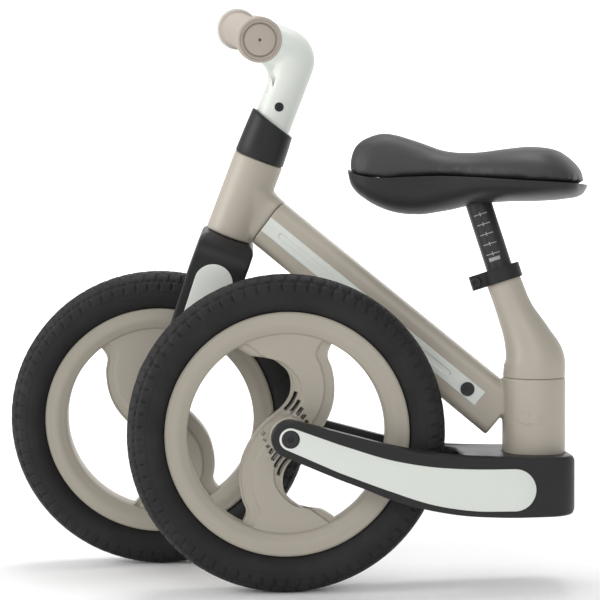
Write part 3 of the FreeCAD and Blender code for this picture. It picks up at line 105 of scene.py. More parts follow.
WORLD_FRAME = np.eye(4)
FRONT_WHEEL_FRAME = axes_to_world(FRONT_HUB, FRONT_BACK, FRONT_UP, -FRONT_SIDE)
REAR_WHEEL_FRAME = axes_to_world(REAR_HUB, REAR_BACK, UP, -REAR_SIDE)
FRONT_FORK_FRAME = axes_to_world(FRONT_HUB, HEAD, -FRONT_ACROSS, FRONT_SIDE)
REAR_FORK_FRAME = axes_to_world(REAR_HUB, REAR_ALONG, UP, REAR_SIDE)
HEAD_TUBE_FRAME = axes_to_world(FRONT_HUB, ACROSS, SIDE, HEAD)
STEERING_FRAME = axes_to_world(FRONT_HUB, FRONT_ACROSS, FRONT_SIDE, HEAD)
SEAT_FRAME = axes_to_world(SEAT_BASE, np.cross(SIDE, SEAT), SIDE, SEAT)
PIVOT_FRAME = axes_to_world([PIVOT[0], PIVOT[1], 0.0], [1, 0, 0], [0, 1, 0], [0, 0, 1])
BEAM_FRAME = axes_to_world(BEAM_START, BEAM_RISE, SIDE, -BEAM_ALONG)


def carry(points, place):
    """Local points, in millimetres, taken to the bike's frame, in metres."""
    flat = np.asarray(points, float).reshape(-1, 3) * MM
    return flat @ place[:3, :3].T + place[:3, 3]


# ---- curves and grids --------------------------------------------------------
def through(at, knots, values):
    """Smooth curve through values at knots: a cubic between each two knots whose
    slope at a knot is the slope between the knot's two neighbours."""
    at = np.asarray(at, float)
    knots = np.asarray(knots, float)
    values = np.asarray(values, float)
    slope = np.gradient(values, knots, axis=0)
    i = np.clip(np.searchsorted(knots, at, side="right") - 1, 0, len(knots) - 2)
    h = knots[i + 1] - knots[i]
    u = np.clip((at - knots[i]) / h, 0.0, 1.0)
    if values.ndim > 1:
        h = h[:, None]
        u = u[:, None]
    low = (1 + 2 * u) * (1 - u) ** 2 * values[i] + u * (1 - u) ** 2 * h * slope[i]
    high = u ** 2 * (3 - 2 * u) * values[i + 1] + u ** 2 * (u - 1) * h * slope[i + 1]
    return low + high


def along_points(points, count):
    """Evenly spaced points on the smooth curve through a list of points."""
    points = np.asarray(points, float)
    steps = np.linalg.norm(np.diff(points, axis=0), axis=1)
    run = np.concatenate([[0.0], np.cumsum(steps)])
    return through(np.linspace(0.0, run[-1], count), run, points)


def soft_step(x, low, high):
    """0 below low and 1 above high, with a cubic ease between them."""
    t = np.clip((x - low) / (high - low), 0.0, 1.0)
    return t * t * (3 - 2 * t)


def notch(x, half):
    """1 at the middle of a groove and 0 outside it, with steep soft walls."""
    return np.exp(-((x / half) ** 4))


def grid_faces(rows, columns, close_rows, close_columns):
    """Quads between neighbouring points of a grid that is counted row by row."""
    i = np.arange(rows if close_rows else rows - 1)[:, None]
    j = np.arange(columns if close_columns else columns - 1)[None, :]
    ahead = (i + 1) % rows
    right = (j + 1) % columns
    quads = np.stack([i * columns + j + 0 * right, i * columns + right,
                      ahead * columns + right, ahead * columns + j], axis=-1)
    return quads.reshape(-1, 4).tolist()


def add_caps(faces, rows, columns):
    """One many-sided face over the first and the last ring of a run of rings."""
    first = list(range(columns))
    last = list(range((rows - 1) * columns, rows * columns))
    return faces + [first[::-1], last]


def rounded_section(half_a, half_b, corner, steps=5):
    """Closed rounded rectangle, one row per given size: quarter circles of the
    corner radius about the four corner centres, which stand in by that radius."""
    half_a = np.atleast_1d(np.asarray(half_a, float))
    half_b = np.atleast_1d(np.asarray(half_b, float))
    r = np.minimum(corner, np.minimum(half_a, half_b) * 0.999)
    turns = np.linspace(0.0, math.pi / 2, steps)
    angle = np.concatenate([turns + k * math.pi / 2 for k in range(4)])
    sign_a = np.repeat([1, -1, -1, 1], steps)
    sign_b = np.repeat([1, 1, -1, -1], steps)
    a = sign_a * (half_a - r)[:, None] + r[:, None] * np.cos(angle)
    b = sign_b * (half_b - r)[:, None] + r[:, None] * np.sin(angle)
    return a, b


def revolved(profile, steps, closed):
    """Points (radius, height) carried round local Z in equal steps."""
    profile = np.asarray(profile, float)
    turn = np.linspace(0.0, 2 * math.pi, steps, endpoint=False)[:, None]
    x = profile[:, 0] * np.cos(turn)
    y = profile[:, 0] * np.sin(turn)
    z = profile[:, 1] + 0 * turn
    points = np.stack([x, y, z], axis=-1)
    faces = grid_faces(steps, len(profile), True, closed)
    return points.reshape(-1, 3), faces


def lathe(profile, steps=96):
    """Solid of revolution from a profile that starts and ends on the axis."""
    return revolved(profile, steps, False)


def carried_section(path, side, section_a, section_b):
    """Section points carried along a path: side gives the section's first
    direction at each path point, and the second is square to it and the path."""
    path = np.asarray(path, float)
    tangent = np.gradient(path, axis=0)
    tangent /= np.linalg.norm(tangent, axis=1)[:, None]
    side = np.broadcast_to(np.asarray(side, float), path.shape)
    second = np.cross(tangent, side)
    second /= np.linalg.norm(second, axis=1)[:, None]
    first_part = section_a[..., None] * side[:, None, :]
    second_part = section_b[..., None] * second[:, None, :]
    return path[:, None, :] + first_part + second_part


def circle_section(radii, steps):
    """Circles of the given radii: cosine and sine of equal turns."""
    turn = np.linspace(0.0, 2 * math.pi, steps, endpoint=False)
    radii = np.asarray(radii, float)[:, None]
    return radii * np.cos(turn), radii * np.sin(turn)


def ring_solid(points):
    """Points and faces of a solid made from a stack of closed rings."""
    rows, columns = points.shape[:2]
    faces = add_caps(grid_faces(rows, columns, False, True), rows, columns)
    return points.reshape(-1, 3), faces


def joined(parts):
    """Several lists of points and faces as one."""
    points = []
    faces = []
    start = 0
    for part_points, part_faces in parts:
        part_points = np.asarray(part_points, float)
        points.append(part_points)
        faces += [[index + start for index in face] for face in part_faces]
        start += len(part_points)
    return np.concatenate(points), faces


# ---- making objects ----------------------------------------------------------
def make_object(name, points, faces, sharp=40.0):
    """Mesh object at the origin with merged doubles and outward faces."""
    mesh = bpy.data.meshes.new(name)
    mesh.from_pydata(np.asarray(points).tolist(), [], faces)
    work = bmesh.new()
    work.from_mesh(mesh)
    bmesh.ops.remove_doubles(work, verts=work.verts, dist=0.00001)
    bmesh.ops.dissolve_degenerate(work, edges=work.edges, dist=0.00001)
    bmesh.ops.recalc_face_normals(work, faces=work.faces)
    work.to_mesh(mesh)
    work.free()
    piece = bpy.data.objects.new(name, mesh)
    bpy.context.scene.collection.objects.link(piece)
    shade(piece, sharp)
    return piece


def shade(piece, sharp=40.0):
    """Smooth shading, with edges sharper than an angle in degrees kept sharp."""
    piece.data.shade_smooth()
    piece.data.set_sharp_from_angle(angle=math.radians(sharp))


def solid(name, part, place, sharp=40.0):
    """Object from points in millimetres on a frame of reference."""
    return make_object(name, carry(part[0], place), part[1], sharp)


def bake_modifiers(piece):
    """Replace the mesh by what its modifiers make of it, and drop them."""
    graph = bpy.context.evaluated_depsgraph_get()
    mesh = bpy.data.meshes.new_from_object(piece.evaluated_get(graph))
    old = piece.data
    piece.modifiers.clear()
    piece.data = mesh
    mesh.name = piece.name
    bpy.data.meshes.remove(old)


def melt(piece, voxel, rounds, factor=0.5):
    """One skin over overlapping solids, with its creases eased into fillets."""
    remesh = piece.modifiers.new("skin", "REMESH")
    remesh.mode = "VOXEL"
    remesh.voxel_size = voxel * MM
    smooth = piece.modifiers.new("ease", "SMOOTH")
    smooth.factor = factor
    smooth.iterations = rounds
    bake_modifiers(piece)
    shade(piece, 60.0)


def cut(piece, cutter_parts, place, sharp=35.0):
    """Take closed cutters away from a piece."""
    tool = solid(piece.name + "_tool", joined(cutter_parts), place)
    difference = piece.modifiers.new("cut", "BOOLEAN")
    difference.operation = "DIFFERENCE"
    difference.solver = "EXACT"
    difference.object = tool
    bake_modifiers(piece)
    bpy.data.objects.remove(tool)
    shade(piece, sharp)


def rod(a, b, radius, steps=40):
    """Round rod between two local points."""
    a = np.asarray(a, float)
    b = np.asarray(b, float)
    axis = unit(b - a)
    helper = np.array([0.0, 1.0, 0.0]) if abs(axis[1]) < 0.9 else np.array([1.0, 0.0, 0.0])
    first = unit(np.cross(axis, helper))
    second = np.cross(axis, first)
    turn = np.linspace(0, 2 * math.pi, steps, endpoint=False)[:, None]
    ring = radius * (np.cos(turn) * first + np.sin(turn) * second)
    return ring_solid(np.stack([a + ring, b + ring]))


def ball(centre, radius, rows=20, columns=40):
    """Ball: height is the cosine and radius the sine of the angle from its pole."""
    tilt = np.linspace(0.0, math.pi, rows)
    profile = np.stack([radius * np.sin(tilt), radius * np.cos(tilt)], axis=-1)
    points, faces = lathe(profile, columns)
    return points + np.asarray(centre, float), faces


def box_part(low, high):
    """Box between two opposite corners."""
    low = np.asarray(low, float)
    high = np.asarray(high, float)
    corners = np.array([[x, y, z] for z in (0, 1) for x, y in ((0, 0), (1, 0), (1, 1), (0, 1))], float)
    faces = [[3, 2, 1, 0], [4, 5, 6, 7], [0, 1, 5, 4], [1, 2, 6, 5], [2, 3, 7, 6], [3, 0, 4, 7]]
    return low + corners * (high - low), faces


def finish_piece(piece, body, slot, material, *nodes):
    """Give a piece its finish, its body and the nodes that it stands for."""
    piece.data.materials.clear()
    piece.data.materials.append(material)
    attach(piece, body)
    if nodes:
        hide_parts(*nodes)
    return piece


# ---- finishes ----------------------------------------------------------------
def new_group(name, inputs, outputs):
    """Shader node group with named number inputs and outputs."""
    group = bpy.data.node_groups.new(name, "ShaderNodeTree")
    for label, default in inputs:
        socket = group.interface.new_socket(label, in_out="INPUT", socket_type="NodeSocketFloat")
        socket.default_value = default
    for label in outputs:
        group.interface.new_socket(label, in_out="OUTPUT", socket_type="NodeSocketFloat")
    return group, group.nodes.new("NodeGroupInput"), group.nodes.new("NodeGroupOutput")


def math_node(nodes, links, operation, a, b):
    """Result of one sum on two numbers or sockets."""
    node = nodes.new("ShaderNodeMath")
    node.operation = operation
    for socket, value in zip(node.inputs, (a, b)):
        if isinstance(value, (int, float)):
            socket.default_value = value
        else:
            links.new(value, socket)
    return node.outputs[0]


def moulding_group():
    """Fine surface of moulded or sprayed parts: a small texture for the bump and
    a slow mottle for colour and gloss."""
    group, entry, leave = new_group("moulding_texture", [("Grain Scale", 900.0), ("Mottle Scale", 14.0)],
                                    ["Grain", "Mottle"])
    nodes, links = group.nodes, group.links
    place = nodes.new("ShaderNodeTexCoord")
    for source, label, detail in (("Grain Scale", "Grain", 2.0), ("Mottle Scale", "Mottle", 4.0)):
        noise = nodes.new("ShaderNodeTexNoise")
        noise.inputs["Detail"].default_value = detail
        links.new(place.outputs["Object"], noise.inputs["Vector"])
        links.new(entry.outputs[source], noise.inputs["Scale"])
        links.new(noise.outputs["Fac"], leave.inputs[label])
    return group


def grain_group():
    """Leather grain: pebbles with creases between them."""
    group, entry, leave = new_group("pebble_grain", [("Pebble Scale", 700.0)], ["Height", "Crease"])
    nodes, links = group.nodes, group.links
    place = nodes.new("ShaderNodeTexCoord")
    cells = nodes.new("ShaderNodeTexVoronoi")
    cells.feature = "DISTANCE_TO_EDGE"
    links.new(place.outputs["Object"], cells.inputs["Vector"])
    links.new(entry.outputs["Pebble Scale"], cells.inputs["Scale"])
    wide = math_node(nodes, links, "MULTIPLY", cells.outputs["Distance"], 4.0)
    height = math_node(nodes, links, "MINIMUM", wide, 1.0)
    links.new(height, leave.inputs["Height"])
    crease = math_node(nodes, links, "SUBTRACT", 1.0, height)
    links.new(crease, leave.inputs["Crease"])
    return group


def dust_group():
    """Dust: a patchy mask, stronger where the noise is high."""
    group, entry, leave = new_group("light_dust", [("Scale", 30.0), ("Amount", 0.3)], ["Mask"])
    nodes, links = group.nodes, group.links
    place = nodes.new("ShaderNodeTexCoord")
    noise = nodes.new("ShaderNodeTexNoise")
    noise.inputs["Detail"].default_value = 6.0
    links.new(place.outputs["Object"], noise.inputs["Vector"])
    links.new(entry.outputs["Scale"], noise.inputs["Scale"])
    ramp = nodes.new("ShaderNodeMapRange")
    ramp.inputs["From Min"].default_value = 0.45
    ramp.inputs["From Max"].default_value = 0.75
    links.new(noise.outputs["Fac"], ramp.inputs["Value"])
    links.new(math_node(nodes, links, "MULTIPLY", ramp.outputs["Result"], entry.outputs["Amount"]),
              leave.inputs["Mask"])
    return group


def add_group(nodes, name, maker, values):
    """Group node, its group made on first use, with some inputs set."""
    node = nodes.new("ShaderNodeGroup")
    node.node_tree = bpy.data.node_groups.get(name) or maker()
    for label, value in values.items():
        node.inputs[label].default_value = value
    return node


def spread(nodes, links, value, low, high):
    """A 0 to 1 value brought to a range."""
    node = nodes.new("ShaderNodeMapRange")
    node.inputs["To Min"].default_value = low
    node.inputs["To Max"].default_value = high
    links.new(value, node.inputs["Value"])
    return node.outputs["Result"]


def shaded_colour(nodes, links, factor, colour, low, high):
    """The colour darkened or lightened between two shares of itself."""
    mix = nodes.new("ShaderNodeMix")
    mix.data_type = "RGBA"
    mix.inputs["A"].default_value = (*[min(1.0, c * low) for c in colour[:3]], 1.0)
    mix.inputs["B"].default_value = (*[min(1.0, c * high) for c in colour[:3]], 1.0)
    links.new(factor, mix.inputs["Factor"])
    return mix.outputs["Result"]


def start_material(name):
    """New material with its nodes, its links and its shader."""
    material = bpy.data.materials.new(name)
    material.use_nodes = True
    nodes, links = material.node_tree.nodes, material.node_tree.links
    return material, nodes, links, nodes["Principled BSDF"]


def add_relief(nodes, links, shader, height, strength):
    """Bump of RELIEF_DEPTH from a height, on the shader's normal."""
    relief = nodes.new("ShaderNodeBump")
    relief.inputs["Strength"].default_value = strength
    relief.inputs["Distance"].default_value = RELIEF_DEPTH
    links.new(height, relief.inputs["Height"])
    links.new(relief.outputs["Normal"], shader.inputs["Normal"])


def coat_material(name, colour, roughness, metallic=0.0, bump=0.05, grain=900.0, vary=0.04, dust=0.0,
                  coat=0.0, shine=0.5):
    """Moulded, sprayed or machined finish with texture in bump, colour and gloss."""
    material, nodes, links, shader = start_material(name)
    texture = add_group(nodes, "moulding_texture", moulding_group, {"Grain Scale": grain})
    dusty = add_group(nodes, "light_dust", dust_group, {"Amount": dust})
    base = shaded_colour(nodes, links, texture.outputs["Mottle"], colour, 1 - vary, 1 + vary)
    blend = nodes.new("ShaderNodeMix")
    blend.data_type = "RGBA"
    blend.inputs["B"].default_value = DUST_COLOUR
    links.new(base, blend.inputs["A"])
    links.new(dusty.outputs["Mask"], blend.inputs["Factor"])
    links.new(blend.outputs["Result"], shader.inputs["Base Color"])
    gloss = spread(nodes, links, texture.outputs["Mottle"], roughness - 0.05, roughness + 0.05)
    links.new(gloss, shader.inputs["Roughness"])
    add_relief(nodes, links, shader, texture.outputs["Grain"], bump)
    shader.inputs["Metallic"].default_value = metallic
    shader.inputs["Specular IOR Level"].default_value = shine
    shader.inputs["Coat Weight"].default_value = coat
    shader.inputs["Coat Roughness"].default_value = 0.25
    return material


def leather_material(name, colour):
    """Padded cover: pebbled grain with darker, rougher creases."""
    material, nodes, links, shader = start_material(name)
    grain = add_group(nodes, "pebble_grain", grain_group, {"Pebble Scale": PEBBLE_SCALE})
    shaded = shaded_colour(nodes, links, grain.outputs["Height"], colour, 0.7, 1.1)
    links.new(shaded, shader.inputs["Base Color"])
    links.new(spread(nodes, links, grain.outputs["Crease"], 0.34, 0.58), shader.inputs["Roughness"])
    add_relief(nodes, links, shader, grain.outputs["Height"], 0.6)
    return material


RELIEF_DEPTH = 0.0004
PEBBLE_SCALE = 520.0
DUST_COLOUR = (0.30, 0.285, 0.26, 1.0)

# Each coat's colour, or the setting that holds it, its roughness, and where it
# departs from coat_material's own values.
COATS = {
    "beige_paint": ("frame_colour", 0.46, {"bump": 0.10, "grain": 1400, "vary": 0.02, "coat": 0.15}),
    "beige_moulding": ("wheel_colour", 0.50, {"bump": 0.12, "grain": 1100, "vary": 0.025}),
    "white_moulding": ("white_colour", 0.36, {"bump": 0.05, "grain": 900, "vary": 0.015}),
    "black_moulding": ("black_colour", 0.44, {"bump": 0.14, "grain": 1500, "vary": 0.10, "shine": 0.30}),
    "tyre_rubber": ("tyre_colour", 0.62,
                    {"bump": 0.25, "grain": 1300, "vary": 0.12, "dust": 0.03, "shine": 0.28}),
    "grip_rubber": ("grip_colour", 0.62, {"bump": 0.22, "grain": 1600, "vary": 0.03}),
    "turned_steel": ((0.55, 0.55, 0.54), 0.32, {"metallic": 0.95, "bump": 0.08, "grain": 2200, "vary": 0.05}),
    "black_oxide_steel": ((0.025, 0.025, 0.027), 0.36,
                          {"metallic": 0.4, "bump": 0.06, "grain": 1800, "vary": 0.10}),
    "black_anodised": ((0.03, 0.03, 0.032), 0.38,
                       {"metallic": 0.35, "bump": 0.05, "grain": 2000, "vary": 0.08}),
    "grey_print": ((0.33, 0.33, 0.32), 0.55, {"bump": 0.04, "vary": 0.04}),
    "pale_floor": ((0.93, 0.93, 0.93), 0.80, {"bump": 0.02, "grain": 60, "vary": 0.01}),
}

# The finish of a CAD node, by the slot that the record gives it.
SLOT_FINISH = {
    "steel": "turned_steel", "bearing_steel": "turned_steel", "black_steel": "black_oxide_steel",
    "aluminium_black": "black_anodised", "black_plastic": "black_moulding", "black_alloy": "black_moulding",
    "frame_paint": "beige_paint", "wheel_nylon": "beige_moulding", "white_plastic": "white_moulding",
    "tyre_foam": "tyre_rubber", "grip_rubber": "grip_rubber", "saddle_cover": "saddle_cover",
}


def finish(name):
    """Material of this name, made on first use from the table or the settings."""
    found = bpy.data.materials.get(name)
    if found:
        return found
    chosen = bpy.context.scene.bike_finishes
    if name == "saddle_cover":
        return leather_material(name, chosen.saddle_colour)
    colour, roughness, values = COATS[name]
    if isinstance(colour, str):
        colour = getattr(chosen, colour)
    return coat_material(name, colour, roughness, **values)


# ---- settings ----------------------------------------------------------------
class TyreSettings(bpy.types.PropertyGroup):
    radius: FloatProperty(name="Radius", description="Outer radius of a tyre", default=0.150, unit="LENGTH")
    half_width: FloatProperty(name="Half width", description="Half the tyre's width", default=0.021,
                              unit="LENGTH")
    tread_depth: FloatProperty(name="Tread depth", description="Depth of the grooves", default=0.0013,
                               unit="LENGTH")
    blocks: IntProperty(name="Blocks", description="Tread blocks round the tyre", default=73, min=24, max=120)


class WheelSettings(bpy.types.PropertyGroup):
    rim_radius: FloatProperty(name="Rim radius", description="Radius where rim meets tyre", default=0.115,
                              unit="LENGTH")
    hole_radius: FloatProperty(name="Opening radius", description="Inner radius of the rim", default=0.094,
                               unit="LENGTH")
    blade_edge: FloatProperty(name="Blade edge", description="Half thickness at a blade's edge",
                              default=0.0052,
                              unit="LENGTH")
    blade_middle: FloatProperty(name="Blade middle",
                                description="Half thickness of the blade's raised middle",
                                default=0.0080, unit="LENGTH")
    slots: IntProperty(name="Slots", description="Curved slots on each side of the hub", default=8, min=0,
                       max=9)


class ForkSettings(bpy.types.PropertyGroup):
    edge_radius: FloatProperty(name="Edge radius", description="Rounding of the arms' edges", default=0.0035,
                               unit="LENGTH")


class FrameSettings(bpy.types.PropertyGroup):
    skin: FloatProperty(name="Skin step", description="Voxel size of the cast pieces", default=0.0013,
                        unit="LENGTH")
    ease: IntProperty(name="Ease", description="Rounds of easing that turn creases into fillets", default=14,
                      min=0,
                      max=60)


class SaddleSettings(bpy.types.PropertyGroup):
    pressure: FloatProperty(name="Pressure", description="Pressure that fills the pad", default=4.0)
    travel: FloatProperty(name="Travel", description="Furthest that a point of the pad may swell",
                          default=0.0022,
                          unit="LENGTH")
    simulate: BoolProperty(name="Fill the pad", description="Swell the pad with a cloth simulation",
                           default=True)


class FinishSettings(bpy.types.PropertyGroup):
    frame_colour: FloatVectorProperty(name="Frame", description="Paint of the frame", subtype="COLOR", size=3,
                                      default=(0.420, 0.380, 0.318), min=0.0, max=1.0)
    wheel_colour: FloatVectorProperty(name="Wheels", description="Colour of the moulded wheels",
                                      subtype="COLOR",
                                      size=3, default=(0.400, 0.365, 0.305), min=0.0, max=1.0)
    white_colour: FloatVectorProperty(name="White parts", description="Stem, strips and inlays",
                                      subtype="COLOR",
                                      size=3, default=(0.700, 0.730, 0.685), min=0.0, max=1.0)
    black_colour: FloatVectorProperty(name="Black parts", description="Forks, collar and clamp",
                                      subtype="COLOR",
                                      size=3, default=(0.017, 0.017, 0.018), min=0.0, max=1.0)
    tyre_colour: FloatVectorProperty(name="Tyres", description="Rubber of the tyres", subtype="COLOR", size=3,
                                     default=(0.013, 0.013, 0.0135), min=0.0, max=1.0)
    grip_colour: FloatVectorProperty(name="Grips", description="Rubber of the grips", subtype="COLOR", size=3,
                                     default=(0.430, 0.375, 0.310), min=0.0, max=1.0)
    saddle_colour: FloatVectorProperty(name="Saddle", description="Cover of the saddle", subtype="COLOR",
                                       size=3,
                                       default=(0.018, 0.018, 0.019), min=0.0, max=1.0)


class StageSettings(bpy.types.PropertyGroup):
    light: FloatProperty(name="Light", description="Strength of the soft lights", default=1.0, min=0.0)
    surround: FloatProperty(name="Surround", description="Brightness of the pale surround", default=0.55,
                            min=0.0)


# ---- tyres -------------------------------------------------------------------
BEAD_RADIUS = 109.95
BEAD_HALF_WIDTH = 11.5


def tyre_part(settings):
    """Tyre on local Z: a smooth cross profile carried round, less the grooves.
    A groove's depth depends on the angle and on the distance over the tread."""
    radius = settings.radius / MM
    half = settings.half_width / MM
    right = [(115.0, 11.5), (117.0, 14.6), (122.0, half - 2.0), (132.5, half), (142.0, half - 2.6),
             (radius - 3.0, half - 6.3), (radius, 8.0), (radius + 0.02, 0.0)]
    one = along_points(right, 44)
    profile = np.concatenate([one, (one * [1, -1])[-2::-1]])
    over = np.concatenate([[0.0], np.cumsum(np.linalg.norm(np.diff(profile, axis=0), axis=1))])
    over -= over[len(one) - 1]
    tangent = np.gradient(profile, axis=0)
    normal = np.stack([tangent[:, 1], -tangent[:, 0]], axis=-1)
    normal /= -np.linalg.norm(normal, axis=1)[:, None]
    steps = settings.blocks * 12
    turn = np.linspace(0.0, 2 * math.pi, steps, endpoint=False)
    depth = groove_depth(turn[:, None], over[None, :], settings)
    radial = profile[:, 0] - normal[:, 0] * depth
    height = profile[:, 1] - normal[:, 1] * depth
    bead = np.full((steps, 1), BEAD_RADIUS)
    bead_side = np.full((steps, 1), BEAD_HALF_WIDTH)
    radial = np.concatenate([bead, np.minimum(radial, radius), bead], axis=1)
    height = np.concatenate([bead_side, height, -bead_side], axis=1)
    x = radial * np.cos(turn)[:, None]
    y = radial * np.sin(turn)[:, None]
    points = np.stack([x, y, height], axis=-1)
    return points.reshape(-1, 3), grid_faces(steps, radial.shape[1], True, True)


def groove_depth(turn, over, settings):
    """Side blocks parted by curved cross grooves, a broken groove along their
    outer end, a middle band of offset cross grooves and a twin rib lower down."""
    away = np.abs(over)
    phase = turn * settings.blocks / (2 * math.pi)
    bend = 0.16 * np.sin((away - 20.0) / 11.0 * math.pi)
    side_phase = np.mod(phase + bend + 0.5, 1.0) - 0.5
    side = notch(side_phase, 0.085) * soft_step(away, 21.0, 21.6) * (1 - soft_step(away, 29.0, 29.8))
    outer_phase = np.mod(phase + 0.5 + bend, 1.0) - 0.5
    outer = notch(outer_phase, 0.085) * soft_step(away, 9.8, 10.6) * (1 - soft_step(away, 18.2, 19.0))
    skew = np.mod(phase + 0.5 + over * 0.045 + 0.5, 1.0) - 0.5
    middle = notch(skew, 0.085) * (1 - soft_step(away, 7.0, 7.8)) * soft_step(away, 1.6, 2.2)
    dash_phase = np.abs(np.mod(phase + 0.55, 1.0) - 0.5)
    dashes = notch(away - 20.1, 0.9) * (1 - soft_step(dash_phase, 0.34, 0.42))
    centre = notch(away, 0.9) * 0.8 + notch(away - 8.8, 0.8) * 0.7
    rib = 0.35 * notch(away - 31.6, 0.5) + 0.35 * notch(away - 33.6, 0.5)
    grooves = np.maximum.reduce([side, outer, middle, dashes, centre + 0 * phase, rib + 0 * phase])
    return grooves * settings.tread_depth / MM


# ---- wheels ------------------------------------------------------------------
BLADE_EDGE = [
    (60.0, 92.0), (46.3, 82.1), (32.8, 73.8), (16.9, 72.0), (6.4, 65.7), (-1.9, 56.8), (-4.5, 45.1),
    (-3.0, 35.7), (2.8, 26.3), (13.4, 16.9), (24.2, 7.5), (34.6, -6.6), (43.0, -25.4), (45.1, -43.0),
    (43.0, -60.6), (38.8, -74.2), (42.5, -84.0), (52.0, -93.0),
]
BLADE_END = [(-42.0, 98.5), (46.0, 98.0)]
SLOT_CENTRE = (20.0, 46.0)
SLOT_FIELD = [(-6.5, 45.0), (-21.0, 8.5), (-28.5, -10.0), (-20.5, -2.5), (-20.0, 4.0), (-15.5, 12.5),
              (-7.0, 18.8), (0.0, 19.6), (3.0, 21.5), (-0.5, 29.0), (-3.5, 41.0)]
SLOT_FIRST = 27.4
SLOT_WIDTH = 3.8
SLOT_PITCH = 5.6
SLOT_REACH = 20.0
BEARING_RADIUS = 11.05
HUB_HALF = 31.2


def turned(points, degrees):
    """Points turned about local Z by an angle in degrees."""
    a = math.radians(degrees)
    c, s = math.cos(a), math.sin(a)
    out = np.array(points, float)
    x = out[..., 0] * c - out[..., 1] * s
    y = out[..., 0] * s + out[..., 1] * c
    out[..., 0] = x
    out[..., 1] = y
    return out


def rim_part(settings):
    """Rim: a lit outer face that turns softly into the slope to the opening."""
    rim = settings.rim_radius / MM
    hole = settings.hole_radius / MM
    face = [(hole, 8.4), (hole + 0.8, 9.8), (hole + 5.0, 12.6), (hole + 8.2, 14.3), (hole + 10.5, 14.9),
            (rim - 6.0, 15.0), (rim - 1.2, 14.9), (rim, 14.0)]
    top = along_points(face, 26)
    seat = np.array([(rim, 11.55), (rim - 5.0, 11.5)])
    half = np.concatenate([top, seat])
    return revolved(np.concatenate([half, (half * [1, -1])[::-1]]), 240, True)


def blade_part(settings):
    """The two S-shaped blades: across, each row runs straight from one edge curve
    to the other; the half thickness rises from the edge over a bevel to a raised
    middle, with a thin rib along both edges."""
    rows = 150
    right = along_points(BLADE_EDGE, rows)
    left = -right[::-1]
    end_left, end_right = np.array(BLADE_END)
    left = np.concatenate([[end_left], left, [-end_right]])
    right = np.concatenate([[end_right], right, [-end_left]])
    across = np.linspace(0.0, 1.0, 57)
    body = left[:, None, :] + (right - left)[:, None, :] * across[None, :, None]
    width = np.linalg.norm(body[:, -1] - body[:, 0], axis=1)[:, None]
    from_left = across[None, :] * width
    from_right = width - from_left
    edge = settings.blade_edge / MM
    middle = settings.blade_middle / MM
    band = np.minimum(9.5, 0.24 * width)
    rise = soft_step(from_left, band, band + 2.6) * soft_step(from_right, 1.25 * band, 1.25 * band + 2.6)
    rib = 0.9 * (1 - soft_step(np.minimum(from_left, from_right), 1.3, 2.2))
    height = edge + (middle - edge) * rise + rib
    upper = np.concatenate([body, height[..., None]], axis=-1)
    lower = upper[:, ::-1] * [1, 1, -1]
    rings = np.concatenate([upper, lower], axis=1)
    return ring_solid(rings)


def inside_polygon(points, polygon):
    """True where a point's level line crosses the outline an odd number of times
    to the point's right."""
    polygon = np.asarray(polygon, float)
    ahead = np.roll(polygon, -1, axis=0)
    y = points[:, None, 1]
    spans = (polygon[:, 1] > y) != (ahead[:, 1] > y)
    rise = np.where(ahead[:, 1] == polygon[:, 1], 1e-9, ahead[:, 1] - polygon[:, 1])
    cross = polygon[:, 0] + (y - polygon[:, 1]) * (ahead[:, 0] - polygon[:, 0]) / rise
    return (np.sum(spans & (points[:, None, 0] < cross), axis=1) % 2) == 1


def slot_cutters(settings):
    """Ring segments about the bend's centre, kept to the field beside the hub."""
    parts = []
    for k in range(settings.slots):
        inner = SLOT_FIRST + k * SLOT_PITCH
        middle = inner + SLOT_WIDTH / 2
        angle = np.linspace(math.pi * 0.75, math.pi * 1.75, 500)
        line = SLOT_CENTRE + middle * np.stack([np.cos(angle), np.sin(angle)], axis=-1)
        keep = angle[inside_polygon(line, SLOT_FIELD)]
        if len(keep) < 8:
            continue
        run = np.linspace(keep[0], keep[-1], 14)[:, None]
        radial = np.array([inner, inner + SLOT_WIDTH, inner + SLOT_WIDTH, inner])
        level = SLOT_REACH * np.array([-1.0, -1.0, 1.0, 1.0])
        x = SLOT_CENTRE[0] + radial * np.cos(run)
        y = SLOT_CENTRE[1] + radial * np.sin(run)
        rings = np.stack([x, y, level + 0 * run], axis=-1)
        part = ring_solid(rings)
        parts.append(part)
        parts.append((turned(part[0], 180.0), part[1]))
    return parts


def hub_part():
    """Hub shell: a barrel with a rounded shoulder at each end and open bearings."""
    half = [(BEARING_RADIUS, HUB_HALF), (15.6, HUB_HALF), (17.2, 30.6), (18.0, 29.2), (18.0, 26.0),
            (16.8, 22.0), (16.2, 14.0), (18.0, 8.0)]
    inner = [(BEARING_RADIUS, 23.9), (9.0, 23.8)]
    top = inner[::-1] + half
    profile = np.array(top + [(r, -z) for r, z in reversed(top)])
    return revolved(profile, 96, True)


